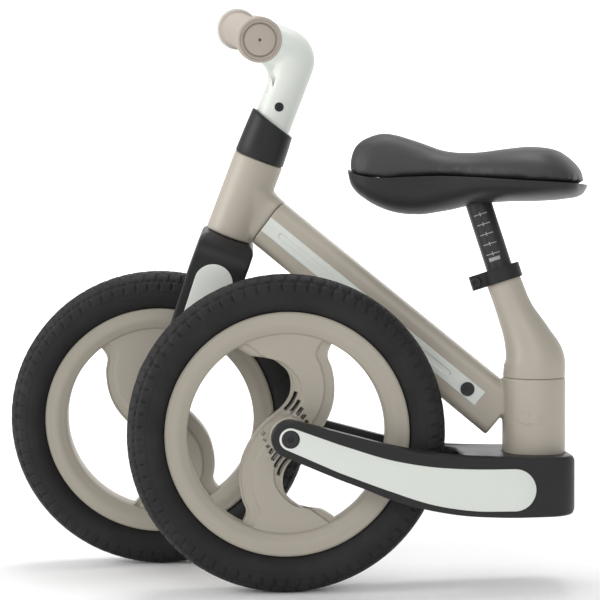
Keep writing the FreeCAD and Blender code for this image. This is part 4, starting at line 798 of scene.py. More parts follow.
# ---- forks -------------------------------------------------------------------
ARM_UPPER = [(45.0, 5.5), (91.6, -7.3), (119.8, -14.6), (144.1, -18.2), (170.0, -20.4), (200.0, -21.0),
             (250.0, -21.0), (280.0, -21.0)]
ARM_LOWER = [(45.4, -38.5), (70.0, -48.2), (91.3, -57.3), (122.6, -66.8), (153.5, -73.0), (200.0, -76.6),
             (250.0, -76.6), (280.0, -76.6)]
INLAY_UPPER = [(45.5, -5.8), (91.7, -20.4), (130.0, -27.6), (170.0, -30.6), (208.8, -31.1)]
INLAY_LOWER = [(45.4, -31.9), (91.6, -49.6), (130.0, -62.6), (170.0, -69.6), (208.8, -70.7)]
LEG_HALF = [(45.0, 21.5), (91.0, 24.5), (125.0, 26.2), (160.0, 27.4), (200.0, 27.4)]
LEG_INLAY = [(45.0, 13.0), (91.0, 15.3), (125.0, 17.3), (160.0, 19.0)]
LEG_INLAY_FAR = 174.55
FORK_INSIDE = 33.0
FORK_OUTSIDE = 47.0
FORK_END_RADIUS = 17.5
FORK_CORNER = 25.0
REAR_FORK_FAR = 270.5
REAR_FORK_INNER = 165.0
FRONT_FORK_FAR = 199.6
FRONT_FORK_INNER = 161.6
INLAY_END_RADIUS = 10.4
INLAY_BACK = 45.02
INLAY_FACE = 47.4
INLAY_EDGE = 0.6
ARM_INLAY_END = 208.8
ARM_INLAY_ROUND = 19.8
LEG_INLAY_END = 160.0
LEG_INLAY_ROUND = 19.0


def edge_height(x, table, radius, sign):
    """Height of an arm's edge: a circle about the axle, a straight run touching
    it, then the smooth curve through the table."""
    table = np.asarray(table, float)
    first = table[0]
    reach = math.hypot(first[0], first[1])
    touch = math.atan2(first[1], first[0]) + sign * math.acos(radius / reach)
    tx, ty = radius * math.cos(touch), radius * math.sin(touch)
    round_part = sign * np.sqrt(np.clip(radius ** 2 - x ** 2, 0.0, None))
    run = ty + (x - tx) * (first[1] - ty) / (first[0] - tx)
    curve = through(x, table[:, 0], table[:, 1])
    return np.where(x < tx, round_part, np.where(x < first[0], run, curve))


def u_line(half, far, corner, near, count):
    """Plan of one wall of a fork: along one arm, round the corner, across the
    crown and back. More points stand near the round end."""
    straight = far - corner
    ease = 1 - np.cos(np.linspace(0.0, math.pi / 2, count))
    arm_x = near + (straight - near) * ease
    turn = np.linspace(0.0, math.pi / 2, 14)[1:]
    corner_x = straight + corner * np.sin(turn)
    corner_y = -half + corner - corner * np.cos(turn)
    first = np.concatenate([np.stack([arm_x, np.full(count, -half)], axis=-1),
                            np.stack([corner_x, corner_y], axis=-1)])
    middle = np.linspace(-(half - corner), half - corner, 12)[1:-1]
    across = np.stack([np.full(10, far), middle], axis=-1)
    return np.concatenate([first, across, (first * [1, -1])[::-1]])


def fork_part(far, inner_far, corner, upper, lower, edge, end_ease):
    """Fork on its own axes: at each step round the U, a rounded section stretched
    between the inner and the outer wall and between the two edge heights."""
    outer = u_line(FORK_OUTSIDE, far, corner, -FORK_END_RADIUS, 70)
    inner = u_line(FORK_INSIDE, inner_far, corner * 0.7, -FORK_END_RADIUS, 70)
    half_a = np.linalg.norm(outer - inner, axis=1) / 2
    probe = (outer[:, 0] + inner[:, 0]) / 2
    half_b = np.maximum((upper(probe) - lower(probe)) / 2, 0.02)
    a, b = rounded_section(half_a, half_b, edge, 6)
    share = (a / half_a[:, None] + 1) / 2
    plan = inner[:, None, :] + (outer - inner)[:, None, :] * share[..., None]
    x = plan[..., 0]
    top, bottom = upper(x), lower(x)
    inset = end_ease(x)
    top, bottom = top - inset, bottom + inset
    level = bottom + (top - bottom) * (b / half_b[:, None] + 1) / 2
    rings = np.stack([x, level, plan[..., 1]], axis=-1)
    return ring_solid(rings)


def arm_upper(x):
    """Upper edge of the rear fork's arms."""
    return edge_height(x, ARM_UPPER, FORK_END_RADIUS, 1)


def arm_lower(x):
    """Lower edge of the rear fork's arms."""
    return edge_height(x, ARM_LOWER, FORK_END_RADIUS, -1)


def leg_upper(x):
    """Rear edge of the front fork's legs."""
    return edge_height(x, LEG_HALF, FORK_END_RADIUS, 1)


def leg_lower(x):
    """Front edge of the front fork's legs, the mirror of the rear edge."""
    return -edge_height(x, LEG_HALF, FORK_END_RADIUS, 1)


def round_end(far, radius):
    """Inset of a section near the crown's end, a quarter circle deep."""
    def inset(x):
        t = np.clip((x - (far - radius)) / radius, 0.0, 1.0)
        return radius * (1 - np.sqrt(np.clip(1 - t * t, 0.0, 1.0)))
    return inset


def inlay_plate(x, upper, lower):
    """Thin plate between two edge heights, with a softly rounded rim."""
    half_b = np.maximum((upper - lower) / 2, 0.02)
    half_a = np.full(len(x), (INLAY_FACE - INLAY_BACK) / 2)
    a, b = rounded_section(half_a, half_b, INLAY_EDGE, 4)
    side = (INLAY_BACK + INLAY_FACE) / 2 + a
    level = (upper + lower)[:, None] / 2 + b
    rings = np.stack([x[:, None] + 0 * a, level, side], axis=-1)
    return ring_solid(rings)


def arm_inlay_part():
    """Tongue from the axle bolt, widening to a round end below the pivot."""
    ease = (1 - np.cos(np.linspace(0.0, math.pi, 120))) / 2
    x = -INLAY_END_RADIUS + (ARM_INLAY_END + ARM_INLAY_ROUND + INLAY_END_RADIUS) * ease
    upper = edge_height(np.minimum(x, ARM_INLAY_END), INLAY_UPPER, INLAY_END_RADIUS, 1)
    lower = edge_height(np.minimum(x, ARM_INLAY_END), INLAY_LOWER, INLAY_END_RADIUS, -1)
    past = np.clip((x - ARM_INLAY_END) / ARM_INLAY_ROUND, 0.0, 1.0)
    middle = (upper + lower) / 2
    half = (upper - lower) / 2 * np.sqrt(np.clip(1 - past ** 2, 0.0, 1.0))
    return inlay_plate(x, middle + half, middle - half)


def leg_inlay_part():
    """Drop-shaped inlay of a front leg, cut off where the leg turns inwards."""
    ease = (1 - np.cos(np.linspace(0.0, math.pi, 110))) / 2
    x = -INLAY_END_RADIUS + (LEG_INLAY_FAR + INLAY_END_RADIUS) * ease
    half = edge_height(np.minimum(x, LEG_INLAY_END), LEG_INLAY, INLAY_END_RADIUS, 1)
    past = np.clip((x - LEG_INLAY_FAR + LEG_INLAY_ROUND) / LEG_INLAY_ROUND, 0.0, 1.0)
    half = half * np.sqrt(np.clip(1 - past ** 2, 0.0, 1.0))
    return inlay_plate(x, half, -half)


# ---- frame -------------------------------------------------------------------
KNUCKLE_RADIUS = 30.0


def beam_run(low, high, extra, steps=30):
    """Rounded rectangular run along the beam, on the beam's own axes."""
    a, b = rounded_section(np.full(steps, 25.0 + extra), np.full(steps, 14.5 + extra), 10.0, 8)
    level = -np.linspace(low, high, steps)[:, None]
    return ring_solid(np.stack([a, b, level + 0 * a], axis=-1))


def head_parts():
    """Head tube on the steering axis and the beam's socket, which swells towards
    the tube so that the two run into each other."""
    tube = rod([0, 0, 200.0], [0, 0, 281.6], 25.0, 96)
    tube = (carry(tube[0], HEAD_TUBE_FRAME), tube[1])
    steps = 40
    run = np.linspace(-38.0, -0.15, steps)
    swell = 1 - soft_step(run, -34.0, -6.0)
    a, b = rounded_section(25.8 + 3.2 * swell, 15.3 + 7.5 * swell, 12.0, 10)
    socket = ring_solid(np.stack([a, b, -run[:, None] + 0 * a], axis=-1))
    socket = (carry(socket[0], BEAM_FRAME), socket[1])
    return joined([tube, socket])


def clip_ends(piece, place, low, high):
    """Level both ends of a melted piece, so that its faces meet their mates."""
    reach = 200.0
    cut(piece, [box_part([-reach, -reach, low - reach], [reach, reach, low]),
                box_part([-reach, -reach, high], [reach, reach, high + reach])], place, 40.0)


def knuckle_parts():
    """Beam, and the upright barrel at its end that the rear fork turns under."""
    beam = beam_run(0.1, 296.0, 0.0)
    beam = (carry(beam[0], BEAM_FRAME), beam[1])
    profile = np.array([(0.0, 125.7), (29.2, 125.7), (KNUCKLE_RADIUS, 126.6), (KNUCKLE_RADIUS, 199.4),
                        (29.6, 200.3), (0.0, 200.3)])
    barrel = lathe(profile, 96)
    barrel = (carry(barrel[0], PIVOT_FRAME), barrel[1])
    return joined([beam, barrel])


def seat_tube_part():
    """Seat tube: circles that shrink and tip over from the knuckle up to the
    neck, on one smooth centre line."""
    mouth = (SEAT_BASE + SEAT * (-16.5) * MM) / MM
    foot = np.array([PIVOT[0] / MM, 0.0, 200.5])
    knots = np.array([0.0, 0.179, 0.414, 0.688, 1.0])
    lean = np.array([0.0, -0.014, 0.227, 0.626, 1.0])
    radius = np.array([29.4, 28.8, 22.8, 17.7, 16.5])
    share = np.linspace(0.0, 1.0, 60)
    x = foot[0] + (mouth[0] - foot[0]) * through(share, knots, lean)
    z = foot[2] + (mouth[2] - foot[2]) * share
    path = np.stack([x, 0 * x, z], axis=-1)
    up_seat = np.array([-math.sin(SEAT_TILT), 0, math.cos(SEAT_TILT)])
    neck = mouth + up_seat * np.linspace(1.0, 13.8, 6)[:, None]
    path = np.concatenate([path, neck])
    radii = np.concatenate([through(share, knots, radius), np.full(6, 16.5)])
    a, b = circle_section(radii, 96)
    points = carried_section(path, [0, 1, 0], a, b)
    points[0, :, 2] = foot[2]
    return ring_solid(points)


def panel_part():
    """White strip: a slab whose face dips into a long slot with round ends; the
    dip is set by the distance to the slot's middle line."""
    half = 8.5
    x = np.concatenate([[1.0, 1.0], np.linspace(1.02, 270.98, 420), [271.0, 271.0]])
    y = np.concatenate([[-half], np.linspace(-half, half, 48), [half]])
    grid_x, grid_y = np.meshgrid(x, y, indexing="ij")
    beyond = np.maximum(np.maximum(20.5 - grid_x, grid_x - 231.5), 0.0)
    away = np.hypot(beyond, grid_y)
    dip = 0.9 * (1 - soft_step(away, 2.0, 3.1))
    rim = np.minimum(np.minimum(grid_x - 1.0, 271.0 - grid_x), half - np.abs(grid_y))
    face = 14.8 - dip - 0.5 * (1 - soft_step(rim, 0.0, 0.7))
    face[[0, -1], :] = 12.35
    face[:, [0, -1]] = 12.35
    points = np.stack([grid_y, face, -grid_x], axis=-1)
    faces = grid_faces(len(x), len(y), False, False)
    edge = np.concatenate([np.arange(len(y)), np.arange(1, len(x)) * len(y) + len(y) - 1,
                           (len(x) - 1) * len(y) + np.arange(len(y) - 2, -1, -1),
                           np.arange(len(x) - 2, 0, -1) * len(y)])
    return points.reshape(-1, 3), faces + [edge.tolist()]


def arrow_part():
    """Raised arrow that points forward along the knuckle: a wedge outline wrapped
    round the barrel and standing a little proud of it."""
    outline = np.array([(-14.5, 0.0), (2.5, 7.2), (1.4, 2.8), (15.5, 4.4), (10.5, -0.6), (15.5, -5.2),
                        (0.6, -4.2), (1.8, -7.0)])
    steps = 5
    ahead = np.roll(outline, -1, axis=0)
    run = np.concatenate([np.linspace(a, b, steps, endpoint=False) for a, b in zip(outline, ahead)])
    centre = np.array([2.0, -0.5])
    shares = np.array([1.0, 1.0, 0.90, 0.5, 0.02])
    heights = np.array([29.6, 30.35, 30.5, 30.5, 30.5])
    points = []
    for share, height in zip(shares, heights):
        flat = centre + (run - centre) * share
        angle = -math.pi / 2 - 0.10 + flat[:, 0] / KNUCKLE_RADIUS
        points.append(np.stack([height * np.cos(angle), height * np.sin(angle), 163.0 + flat[:, 1]], axis=-1))
    return ring_solid(np.array(points))


# ---- steering ----------------------------------------------------------------
def collar_part():
    """Collar: a slight cone whose upper rim is lower behind than in front, with a
    rounded lip and an open socket."""
    base = 282.0
    turn = np.linspace(0.0, 2 * math.pi, 120, endpoint=False)[:, None]
    radial = np.array([12.8, 24.4, 25.0, 24.6, 24.0, 23.6, 23.4, 22.8, 21.6, 20.4, 19.5, 19.25, 19.25, 12.8])
    share = np.array([0.0, 0.0, 0.02, 0.35, 0.70, 0.90, 0.965, 0.99, 1.0, 1.0, 0.985, 0.95, 0.45, 0.45])
    top = 38.0 - 7.0 * np.cos(turn) * np.clip(radial / 23.2, 0.0, 1.0)
    level = base + share * top
    points = np.stack([radial * np.cos(turn), radial * np.sin(turn), level], axis=-1)
    return points.reshape(-1, 3), grid_faces(120, len(radial), True, True)


BAR_REACH = -66.5
BAR_HEIGHT = 392.7
BAR_END = 200.0
SLEEVE_RADIUS = 19.6
SLEEVE_STRAIGHT = 45.0
SLEEVE_END = 62.0
STEM_RADIUS = 19.2
STEM_BEND = 13.0


def bar_point(y):
    """Middle of the handlebar: straight in the sleeve, then swept back and down."""
    extra = max(0.0, abs(y) - SLEEVE_STRAIGHT)
    level = ACROSS * BAR_REACH + HEAD * BAR_HEIGHT + FRONT_HUB / MM
    world = np.array([level[0] + 0.152 * extra, y, level[2] - 0.068 * extra])
    offset = world - FRONT_HUB / MM
    return np.array([offset @ ACROSS, offset @ SIDE, offset @ HEAD])


def stem_parts():
    """Stem: an upright that bends over to the handlebar's sleeve, on a path with
    one round corner; the sleeve follows the bar's own line."""
    turn = np.linspace(0.0, math.pi / 2, 16)
    corner_x = -STEM_BEND + STEM_BEND * np.cos(turn)
    corner_z = BAR_HEIGHT - STEM_BEND + STEM_BEND * np.sin(turn)
    up = np.stack([np.zeros(14), np.zeros(14), np.linspace(294.0, 379.0, 14)], axis=-1)
    corner = np.stack([corner_x, 0 * turn, corner_z], axis=-1)
    out = np.stack([np.linspace(-14.5, BAR_REACH, 12), np.zeros(12), np.full(12, BAR_HEIGHT)], axis=-1)
    path = np.concatenate([up, corner, out])
    a, b = circle_section(np.full(len(path), STEM_RADIUS), 64)
    upright = ring_solid(carried_section(path, [0, 1, 0], a, b))
    web_edge = np.array([(-18.4, 344.0), (-19.8, 357.0), (-24.4, 365.6), (-33.0, 370.6), (-45.0, 373.2)])
    line = along_points(web_edge, 20)
    rise = np.linspace(0.0, 1.0, 20)
    half = 11.5 - 3.0 * np.sin(rise * math.pi)
    inside = np.array([(0.0, 350.0), (0.0, BAR_HEIGHT), (-44.0, BAR_HEIGHT)])
    back = along_points(inside, 20)
    corners = ((line, -half), (back, -half), (back, half), (line, half))
    rings = np.stack([np.stack([row[:, 0], y, row[:, 1]], axis=-1) for row, y in corners], axis=1)
    sleeve = rod(bar_point(-SLEEVE_STRAIGHT), bar_point(SLEEVE_STRAIGHT), SLEEVE_RADIUS, 64)
    parts = [upright, ring_solid(rings), sleeve]
    for side in (-1, 1):
        knee = bar_point(SLEEVE_STRAIGHT * side)
        parts.append(ball(knee, SLEEVE_RADIUS))
        parts.append(rod(knee, bar_point(SLEEVE_END * side), SLEEVE_RADIUS, 64))
    return parts


def grip_part(side):
    """Grip turned about the bar: rounded inner flange, slim barrel with fine rings
    and an end cap of two ridges round a raised disc with a small vent."""
    a, b = bar_point(63.2 * side), bar_point(BAR_END * side)
    length = np.linalg.norm(b - a)
    ring_run = np.linspace(9.0, length - 17.0, 150)
    rings = 15.45 + 0.13 * np.cos((ring_run - 9.0) / 2.4 * 2 * math.pi)
    profile = [(11.05, 0.2), (17.4, 0.0), (18.3, 1.0), (18.3, 4.0), (17.5, 5.4), (16.0, 6.4), (15.6, 7.6)]
    profile += list(zip(rings, ring_run))
    cap = [(15.7, -15.6), (17.6, -14.8), (19.2, -13.2), (19.8, -11.0), (19.8, -3.2), (19.5, -1.4),
           (18.6, -0.3), (17.9, -0.1), (17.3, -0.5), (16.9, -1.0), (16.4, -0.6), (15.8, -0.3),
           (15.2, -0.5), (14.7, -1.5), (14.2, -2.4), (13.8, -2.2), (13.5, -1.0), (13.1, -0.3),
           (12.3, 0.0), (2.2, 0.0), (1.7, -0.1), (1.3, -0.5), (1.15, -1.2), (1.1, -3.6), (0.0, -3.6)]
    profile += [(r, length + z) for r, z in cap]
    profile = [(0.0, length - 5.0), (11.05, length - 5.0), (11.05, 0.2)] + profile[1:]
    points, faces = lathe(profile, 96)
    axis = unit(b - a)
    first = unit(np.cross([0.0, 0.0, 1.0], axis))
    second = np.cross(axis, first)
    return a + points[:, :1] * first + points[:, 1:2] * second + points[:, 2:] * axis, faces


# ---- saddle ------------------------------------------------------------------
SADDLE = np.array([
    (-127.0, 15.0, 44.0, 33.0, 24.0), (-120.0, 27.0, 58.0, 30.0, 13.0), (-107.0, 35.0, 65.5, 26.0, 2.0),
    (-90.0, 38.0, 67.0, 24.0, -6.5), (-62.0, 38.0, 59.5, 24.5, -11.5), (-32.0, 40.0, 49.0, 25.0, -8.0),
    (0.0, 49.0, 47.0, 23.5, -1.5), (28.0, 60.0, 50.0, 21.5, 0.5), (56.0, 66.0, 51.5, 19.5, 0.8),
    (80.0, 62.0, 46.0, 18.0, 2.5), (95.0, 50.0, 34.0, 17.0, 5.5), (102.0, 33.0, 23.5, 16.5, 10.0),
])

CLOTH_STEP = 4.2
CLOTH_FRAMES = 20


def saddle_stations(count, trim):
    """Saddle table read at closely spaced distances, denser at nose and tail."""
    ease = (1 - np.cos(np.linspace(0.0, math.pi, count))) / 2
    x = -127.0 + trim + (229.0 - 2 * trim) * ease
    rows = through(x, SADDLE[:, 0], SADDLE[:, 1:])
    end = np.minimum((x + 127.6) / 6.0, (102.6 - x) / 5.0)
    pinch = np.sqrt(np.clip(end, 0.02, 1.0))
    rows[:, 0] = rows[:, 0] * (0.25 + 0.75 * pinch)
    middle = rows[:, 2:3]
    rows[:, [1, 3]] = middle + (rows[:, [1, 3]] - middle) * (0.20 + 0.80 * pinch[:, None])
    return x, rows


def pad_part(inset):
    """Pad: each section is a flattened arch that pulls in a little at the seam."""
    x, rows = saddle_stations(110, inset)
    width, top, seam = rows[:, 0] - inset, rows[:, 1] - inset, rows[:, 2] + 0.2
    angle = np.linspace(0.0, math.pi, 60)
    c, s = np.cos(angle), np.sin(angle)
    arch = np.abs(s) ** 0.74
    y = width[:, None] * np.copysign(np.abs(c) ** 0.78, c) * (1 - 0.03 * (1 - soft_step(arch, 0.0, 0.18)))
    z = seam[:, None] + np.maximum(top - seam, 0.8)[:, None] * arch
    base_y = np.linspace(-1.0, 1.0, 14)[1:-1] * width[:, None] * 0.97
    base_z = np.broadcast_to(seam[:, None], base_y.shape)
    y = np.concatenate([y, base_y], axis=1)
    z = np.concatenate([z, base_z], axis=1)
    rings = np.stack([x[:, None] + 0 * y, y, z], axis=-1) + SADDLE_ORIGIN
    return ring_solid(rings)


def shell_part():
    """Shell under the pad: a boat whose rim carries a fine step below the seam."""
    x, rows = saddle_stations(110, 0.4)
    width, seam, under = rows[:, 0] - 0.7, rows[:, 2] - 0.2, rows[:, 3]
    angle = np.linspace(0.0, math.pi, 64)
    c, s = np.cos(angle), np.sin(angle)
    drop = np.abs(s) ** 0.75
    lip = 1 - 0.016 * soft_step(drop, 0.10, 0.14)
    y = width[:, None] * np.copysign(np.abs(c) ** 0.90, c) * lip
    z = seam[:, None] - np.maximum(seam - under, 0.8)[:, None] * drop
    lid_y = np.linspace(-1.0, 1.0, 12)[1:-1] * width[:, None] * 0.97
    y = np.concatenate([y, lid_y], axis=1)
    z = np.concatenate([z, np.broadcast_to(seam[:, None], lid_y.shape)], axis=1)
    rings = np.stack([x[:, None] + 0 * y, y, z], axis=-1) + SADDLE_ORIGIN
    return ring_solid(rings)


def read_points(piece):
    """The points of a mesh, a row of x, y and z each."""
    flat = np.empty(len(piece.data.vertices) * 3)
    piece.data.vertices.foreach_get("co", flat)
    return flat.reshape(-1, 3)


def write_points(piece, points):
    """Put the points of a mesh where the rows say."""
    piece.data.vertices.foreach_set("co", points.ravel())
    piece.data.update()


def fill_pad(pad, settings):
    """Swell the pad under air pressure with its travel capped, then smooth it."""
    remesh = pad.modifiers.new("skin", "REMESH")
    remesh.mode = "VOXEL"
    remesh.voxel_size = CLOTH_STEP * MM
    bake_modifiers(pad)
    before = read_points(pad)
    cloth = pad.modifiers.new("fill", "CLOTH")
    cloth.settings.quality = 5
    cloth.settings.use_pressure = True
    cloth.settings.uniform_pressure_force = settings.pressure
    cloth.settings.effector_weights.gravity = 0.0
    cloth.point_cache.frame_start = 1
    cloth.point_cache.frame_end = CLOTH_FRAMES
    for step in range(1, CLOTH_FRAMES + 1):
        bpy.context.scene.frame_set(step)
    bake_modifiers(pad)
    bpy.context.scene.frame_set(1)
    move = read_points(pad) - before
    far = np.linalg.norm(move, axis=1)
    share = np.minimum(1.0, settings.travel / np.maximum(far, 1e-9))
    write_points(pad, before + move * share[:, None])
    smooth = pad.modifiers.new("ease", "SMOOTH")
    smooth.factor = 0.5
    smooth.iterations = 3
    divide = pad.modifiers.new("divide", "SUBSURF")
    divide.levels = 2
    divide.render_levels = 2
    bake_modifiers(pad)
    shade(pad, 60.0)


def settle_on_seam(pad):
    """Press the pad's underside flat onto the shell's rim."""
    co = read_points(pad)
    x = co[:, 0] / MM - SADDLE_ORIGIN[0]
    seam = (through(x, SADDLE[:, 0], SADDLE[:, 3]) + SADDLE_ORIGIN[2] + 0.2) * MM
    co[:, 2] = np.maximum(co[:, 2], seam)
    write_points(pad, co)


def mark_parts():
    """Height marks on the post's left: short bars with a cross stroke, each a thin
    plate wrapped on the post, and a longer bar below them."""
    parts = []
    rows = [52.0 - 9.8 * k for k in range(5)]
    plates = [(level, 6.8, 0.38) for level in rows]
    plates += [(level, 0.4, 1.9) for level in rows]
    plates += [(7.6, 5.6, 1.7)]
    for level, half, tall in plates:
        turn = -math.pi / 2 + np.linspace(-half, half, 13) / 12.5
        radial = np.array([12.45, 12.58, 12.58, 12.45])
        height = level + np.array([-tall, -tall, tall, tall])
        x = radial * np.cos(turn)[:, None]
        y = radial * np.sin(turn)[:, None]
        parts.append(ring_solid(np.stack([x, y, height + 0 * x], axis=-1)))
    return parts


# ---- operators ---------------------------------------------------------------
class BIKE_OT_tyres(bpy.types.Operator):
    """Make both tyres with their tread"""
    bl_idname = "bike.tyres"
    bl_label = "Tyres"

    def execute(self, context):
        part = tyre_part(context.scene.bike_tyres)
        for end, place, body in (("front", FRONT_WHEEL_FRAME, "front_wheel_set"),
                                 ("rear", REAR_WHEEL_FRAME, "rear_wheel_set")):
            tyre = solid(end + "_tread_tyre", part, place, 50.0)
            finish_piece(tyre, body, "tyre_foam", finish("tyre_rubber"), end + "_tyre")
        return {"FINISHED"}


class BIKE_OT_wheels(bpy.types.Operator):
    """Make both moulded wheels: rim, S-shaped blades, slots and hub"""
    bl_idname = "bike.wheels"
    bl_label = "Wheels"

    def execute(self, context):
        settings = context.scene.bike_wheels
        cutters = slot_cutters(settings)
        bore = rod([0, 0, -40.0], [0, 0, 40.0], 11.1, 64)
        for end, place, body, turn in (("front", FRONT_WHEEL_FRAME, "front_wheel_set", 10.5),
                                       ("rear", REAR_WHEEL_FRAME, "rear_wheel_set", 0.0)):
            spin = place @ axes_to_world([0, 0, 0], turned([1.0, 0, 0], turn),
                                         turned([0, 1.0, 0], turn), [0, 0, 1])
            blades = solid(end + "_wheel_blades", blade_part(settings), spin, 30.0)
            cut(blades, cutters, spin, 30.0)
            cut(blades, [bore], spin, 30.0)
            finish_piece(blades, body, "wheel_nylon", finish("beige_moulding"), end + "_wheel")
            rim = solid(end + "_wheel_rim", rim_part(settings), place, 50.0)
            finish_piece(rim, body, "wheel_nylon", finish("beige_moulding"))
            hub = solid(end + "_wheel_hub", hub_part(), place, 40.0)
            finish_piece(hub, body, "wheel_nylon", finish("beige_moulding"))
        return {"FINISHED"}


class BIKE_OT_forks(bpy.types.Operator):
    """Make the front and the rear fork with their white inlays"""
    bl_idname = "bike.forks"
    bl_label = "Forks"

    def execute(self, context):
        settings = context.scene.bike_forks
        edge = settings.edge_radius / MM
        part = fork_part(REAR_FORK_FAR, REAR_FORK_INNER, FORK_CORNER, arm_upper, arm_lower, edge,
                         round_end(REAR_FORK_FAR, 6.0))
        rear = solid("rear_fork_casting", part, REAR_FORK_FRAME, 40.0)
        cut(rear, [lathe(np.array([(0.0, 126.0), (30.6, 126.0), (30.6, 128.4), (31.6, 129.4), (31.6, 140.0),
                                   (0.0, 140.0)]), 96)], PIVOT_FRAME, 40.0)
        part = fork_part(FRONT_FORK_FAR, FRONT_FORK_INNER, FORK_CORNER, leg_upper, leg_lower, edge,
                         round_end(FRONT_FORK_FAR, 8.0))
        front = solid("front_fork_casting", part, FRONT_FORK_FRAME, 40.0)
        finish_piece(rear, "rear_fork_set", "black_alloy", finish("black_moulding"), "rear_fork")
        finish_piece(front, "steering", "black_alloy", finish("black_moulding"), "front_fork")
        hole = rod([0, 0, -60.0], [0, 0, 60.0], 8.4, 64)
        for end, place, part, body in (("rear", REAR_FORK_FRAME, arm_inlay_part(), "rear_fork_set"),
                                       ("front", FRONT_FORK_FRAME, leg_inlay_part(), "steering")):
            for side, sign in (("left", -1.0), ("right", 1.0)):
                points = part[0] * [1, 1, sign]
                name = end + "_inlay_" + side
                inlay = solid(name + "_tongue", (points, part[1]), place, 40.0)
                cut(inlay, [hole], place, 40.0)
                finish_piece(inlay, body, "white_plastic", finish("white_moulding"), name)
        return {"FINISHED"}


class BIKE_OT_frame(bpy.types.Operator):
    """Make the head casting, the beam with its knuckle, and the seat tube"""
    bl_idname = "bike.frame"
    bl_label = "Frame"

    def execute(self, context):
        settings = context.scene.bike_frame
        skin, ease = settings.skin / MM, settings.ease
        head = make_object("head_casting_blended", *head_parts())
        melt(head, skin, ease)
        clip_ends(head, HEAD_TUBE_FRAME, 200.05, 281.55)
        cut(head, [box_part([-60, -60, -400], [60, 60, 0.12])], BEAM_FRAME, 40.0)
        cut(head, [rod([0, 0, 150.0], [0, 0, 320.0], 16.0, 64)], HEAD_TUBE_FRAME, 40.0)
        cut(head, [rod([0, 0, 190.0], [0, 0, 209.0], 19.05, 64),
                   rod([0, 0, 272.5], [0, 0, 300.0], 19.05, 64)], HEAD_TUBE_FRAME, 40.0)
        finish_piece(head, "frame", "frame_paint", finish("beige_paint"), "head_casting")
        beam = make_object("main_beam_blended", *knuckle_parts())
        melt(beam, skin, ease)
        cut(beam, [box_part([-60, -60, -0.15], [60, 60, 400])], BEAM_FRAME, 40.0)
        reach = 12.3
        cut(beam, [box_part([-8.62, reach, -271.15], [8.62, 30.0, 5.0]),
                   box_part([-8.62, -30.0, -271.15], [8.62, -reach, 5.0])], BEAM_FRAME, 40.0)
        cut(beam, [rod([0, 0, 200.25], [0, 0, 300.0], 30.9, 96),
                   box_part([-60, -60, 0], [60, 60, 125.75])], PIVOT_FRAME, 40.0)
        finish_piece(beam, "frame", "frame_paint", finish("beige_paint"), "main_beam")
        arrow = solid("knuckle_arrow", arrow_part(), PIVOT_FRAME, 30.0)
        finish_piece(arrow, "frame", "frame_paint", finish("beige_paint"))
        tube = solid("seat_tube_flared", seat_tube_part(), WORLD_FRAME, 50.0)
        finish_piece(tube, "frame", "frame_paint", finish("beige_paint"), "seat_tube")
        points, faces = panel_part()
        for side, sign in (("left", -1.0), ("right", 1.0)):
            strip = solid("panel_" + side + "_strip", (points * [1, sign, 1], faces), BEAM_FRAME, 30.0)
            finish_piece(strip, "frame", "white_plastic", finish("white_moulding"), "panel_" + side)
        return {"FINISHED"}


class BIKE_OT_steering(bpy.types.Operator):
    """Make the collar, the stem with the handlebar's sleeve, and the grips"""
    bl_idname = "bike.steering"
    bl_label = "Steering"

    def execute(self, context):
        collar = solid("steering_collar_rounded", collar_part(), STEERING_FRAME, 40.0)
        finish_piece(collar, "steering", "black_plastic", finish("black_moulding"), "steering_collar")
        stem = solid("stem_moulding", joined(stem_parts()), STEERING_FRAME)
        melt(stem, 1.25, 10)
        bolt_hole = rod([0, -40.0, 337.0], [0, -16.2, 337.0], 4.6, 48)
        pocket = np.array([(-26.0, 368.6), (-18.0, 366.4), (-13.0, 361.5), (-12.3, 352.5), (-16.0, 358.5),
                           (-20.0, 364.0)])
        rings = np.stack([np.insert(pocket, 1, y, axis=1) for y in (-30.0, -9.0)])
        other = rings * [1, -1, 1]
        cut(stem, [bolt_hole, ring_solid(rings), ring_solid(other)], STEERING_FRAME, 40.0)
        for side in (-1, 1):
            end = rod(bar_point(61.8 * side), bar_point(80.0 * side), 25.0, 48)
            cut(stem, [end], STEERING_FRAME, 40.0)
        finish_piece(stem, "steering", "white_plastic", finish("white_moulding"), "stem")
        for side, name in ((-1, "grip_left"), (1, "grip_right")):
            grip = solid(name + "_turned", grip_part(side), STEERING_FRAME, 35.0)
            finish_piece(grip, "steering", "grip_rubber", finish("grip_rubber"), name)
        return {"FINISHED"}


class BIKE_OT_saddle(bpy.types.Operator):
    """Make the padded saddle, its shell and the marks on the post"""
    bl_idname = "bike.saddle"
    bl_label = "Saddle"

    def execute(self, context):
        settings = context.scene.bike_saddle
        full = settings.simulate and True
        pad = solid("saddle_cushion", pad_part(1.6 if full else 0.4), WORLD_FRAME, 60.0)
        if full:
            fill_pad(pad, settings)
        settle_on_seam(pad)
        finish_piece(pad, "seat", "saddle_cover", finish("saddle_cover"), "saddle_pad")
        shell = solid("saddle_shell_moulding", shell_part(), WORLD_FRAME, 60.0)
        middle, _, level = SADDLE_ORIGIN
        cutters = [rod([middle + x, 0, level - 20.0], [middle + x, 0, level + 4.0], 5.2, 40)
                   for x in (-62.0, -30.0, 45.0)]
        cut(shell, cutters, WORLD_FRAME, 40.0)
        finish_piece(shell, "seat", "black_plastic", finish("black_moulding"), "saddle_shell")
        marks = solid("post_marks", joined(mark_parts()), SEAT_FRAME, 40.0)
        finish_piece(marks, "seat", "aluminium_black", finish("grey_print"))
        return {"FINISHED"}


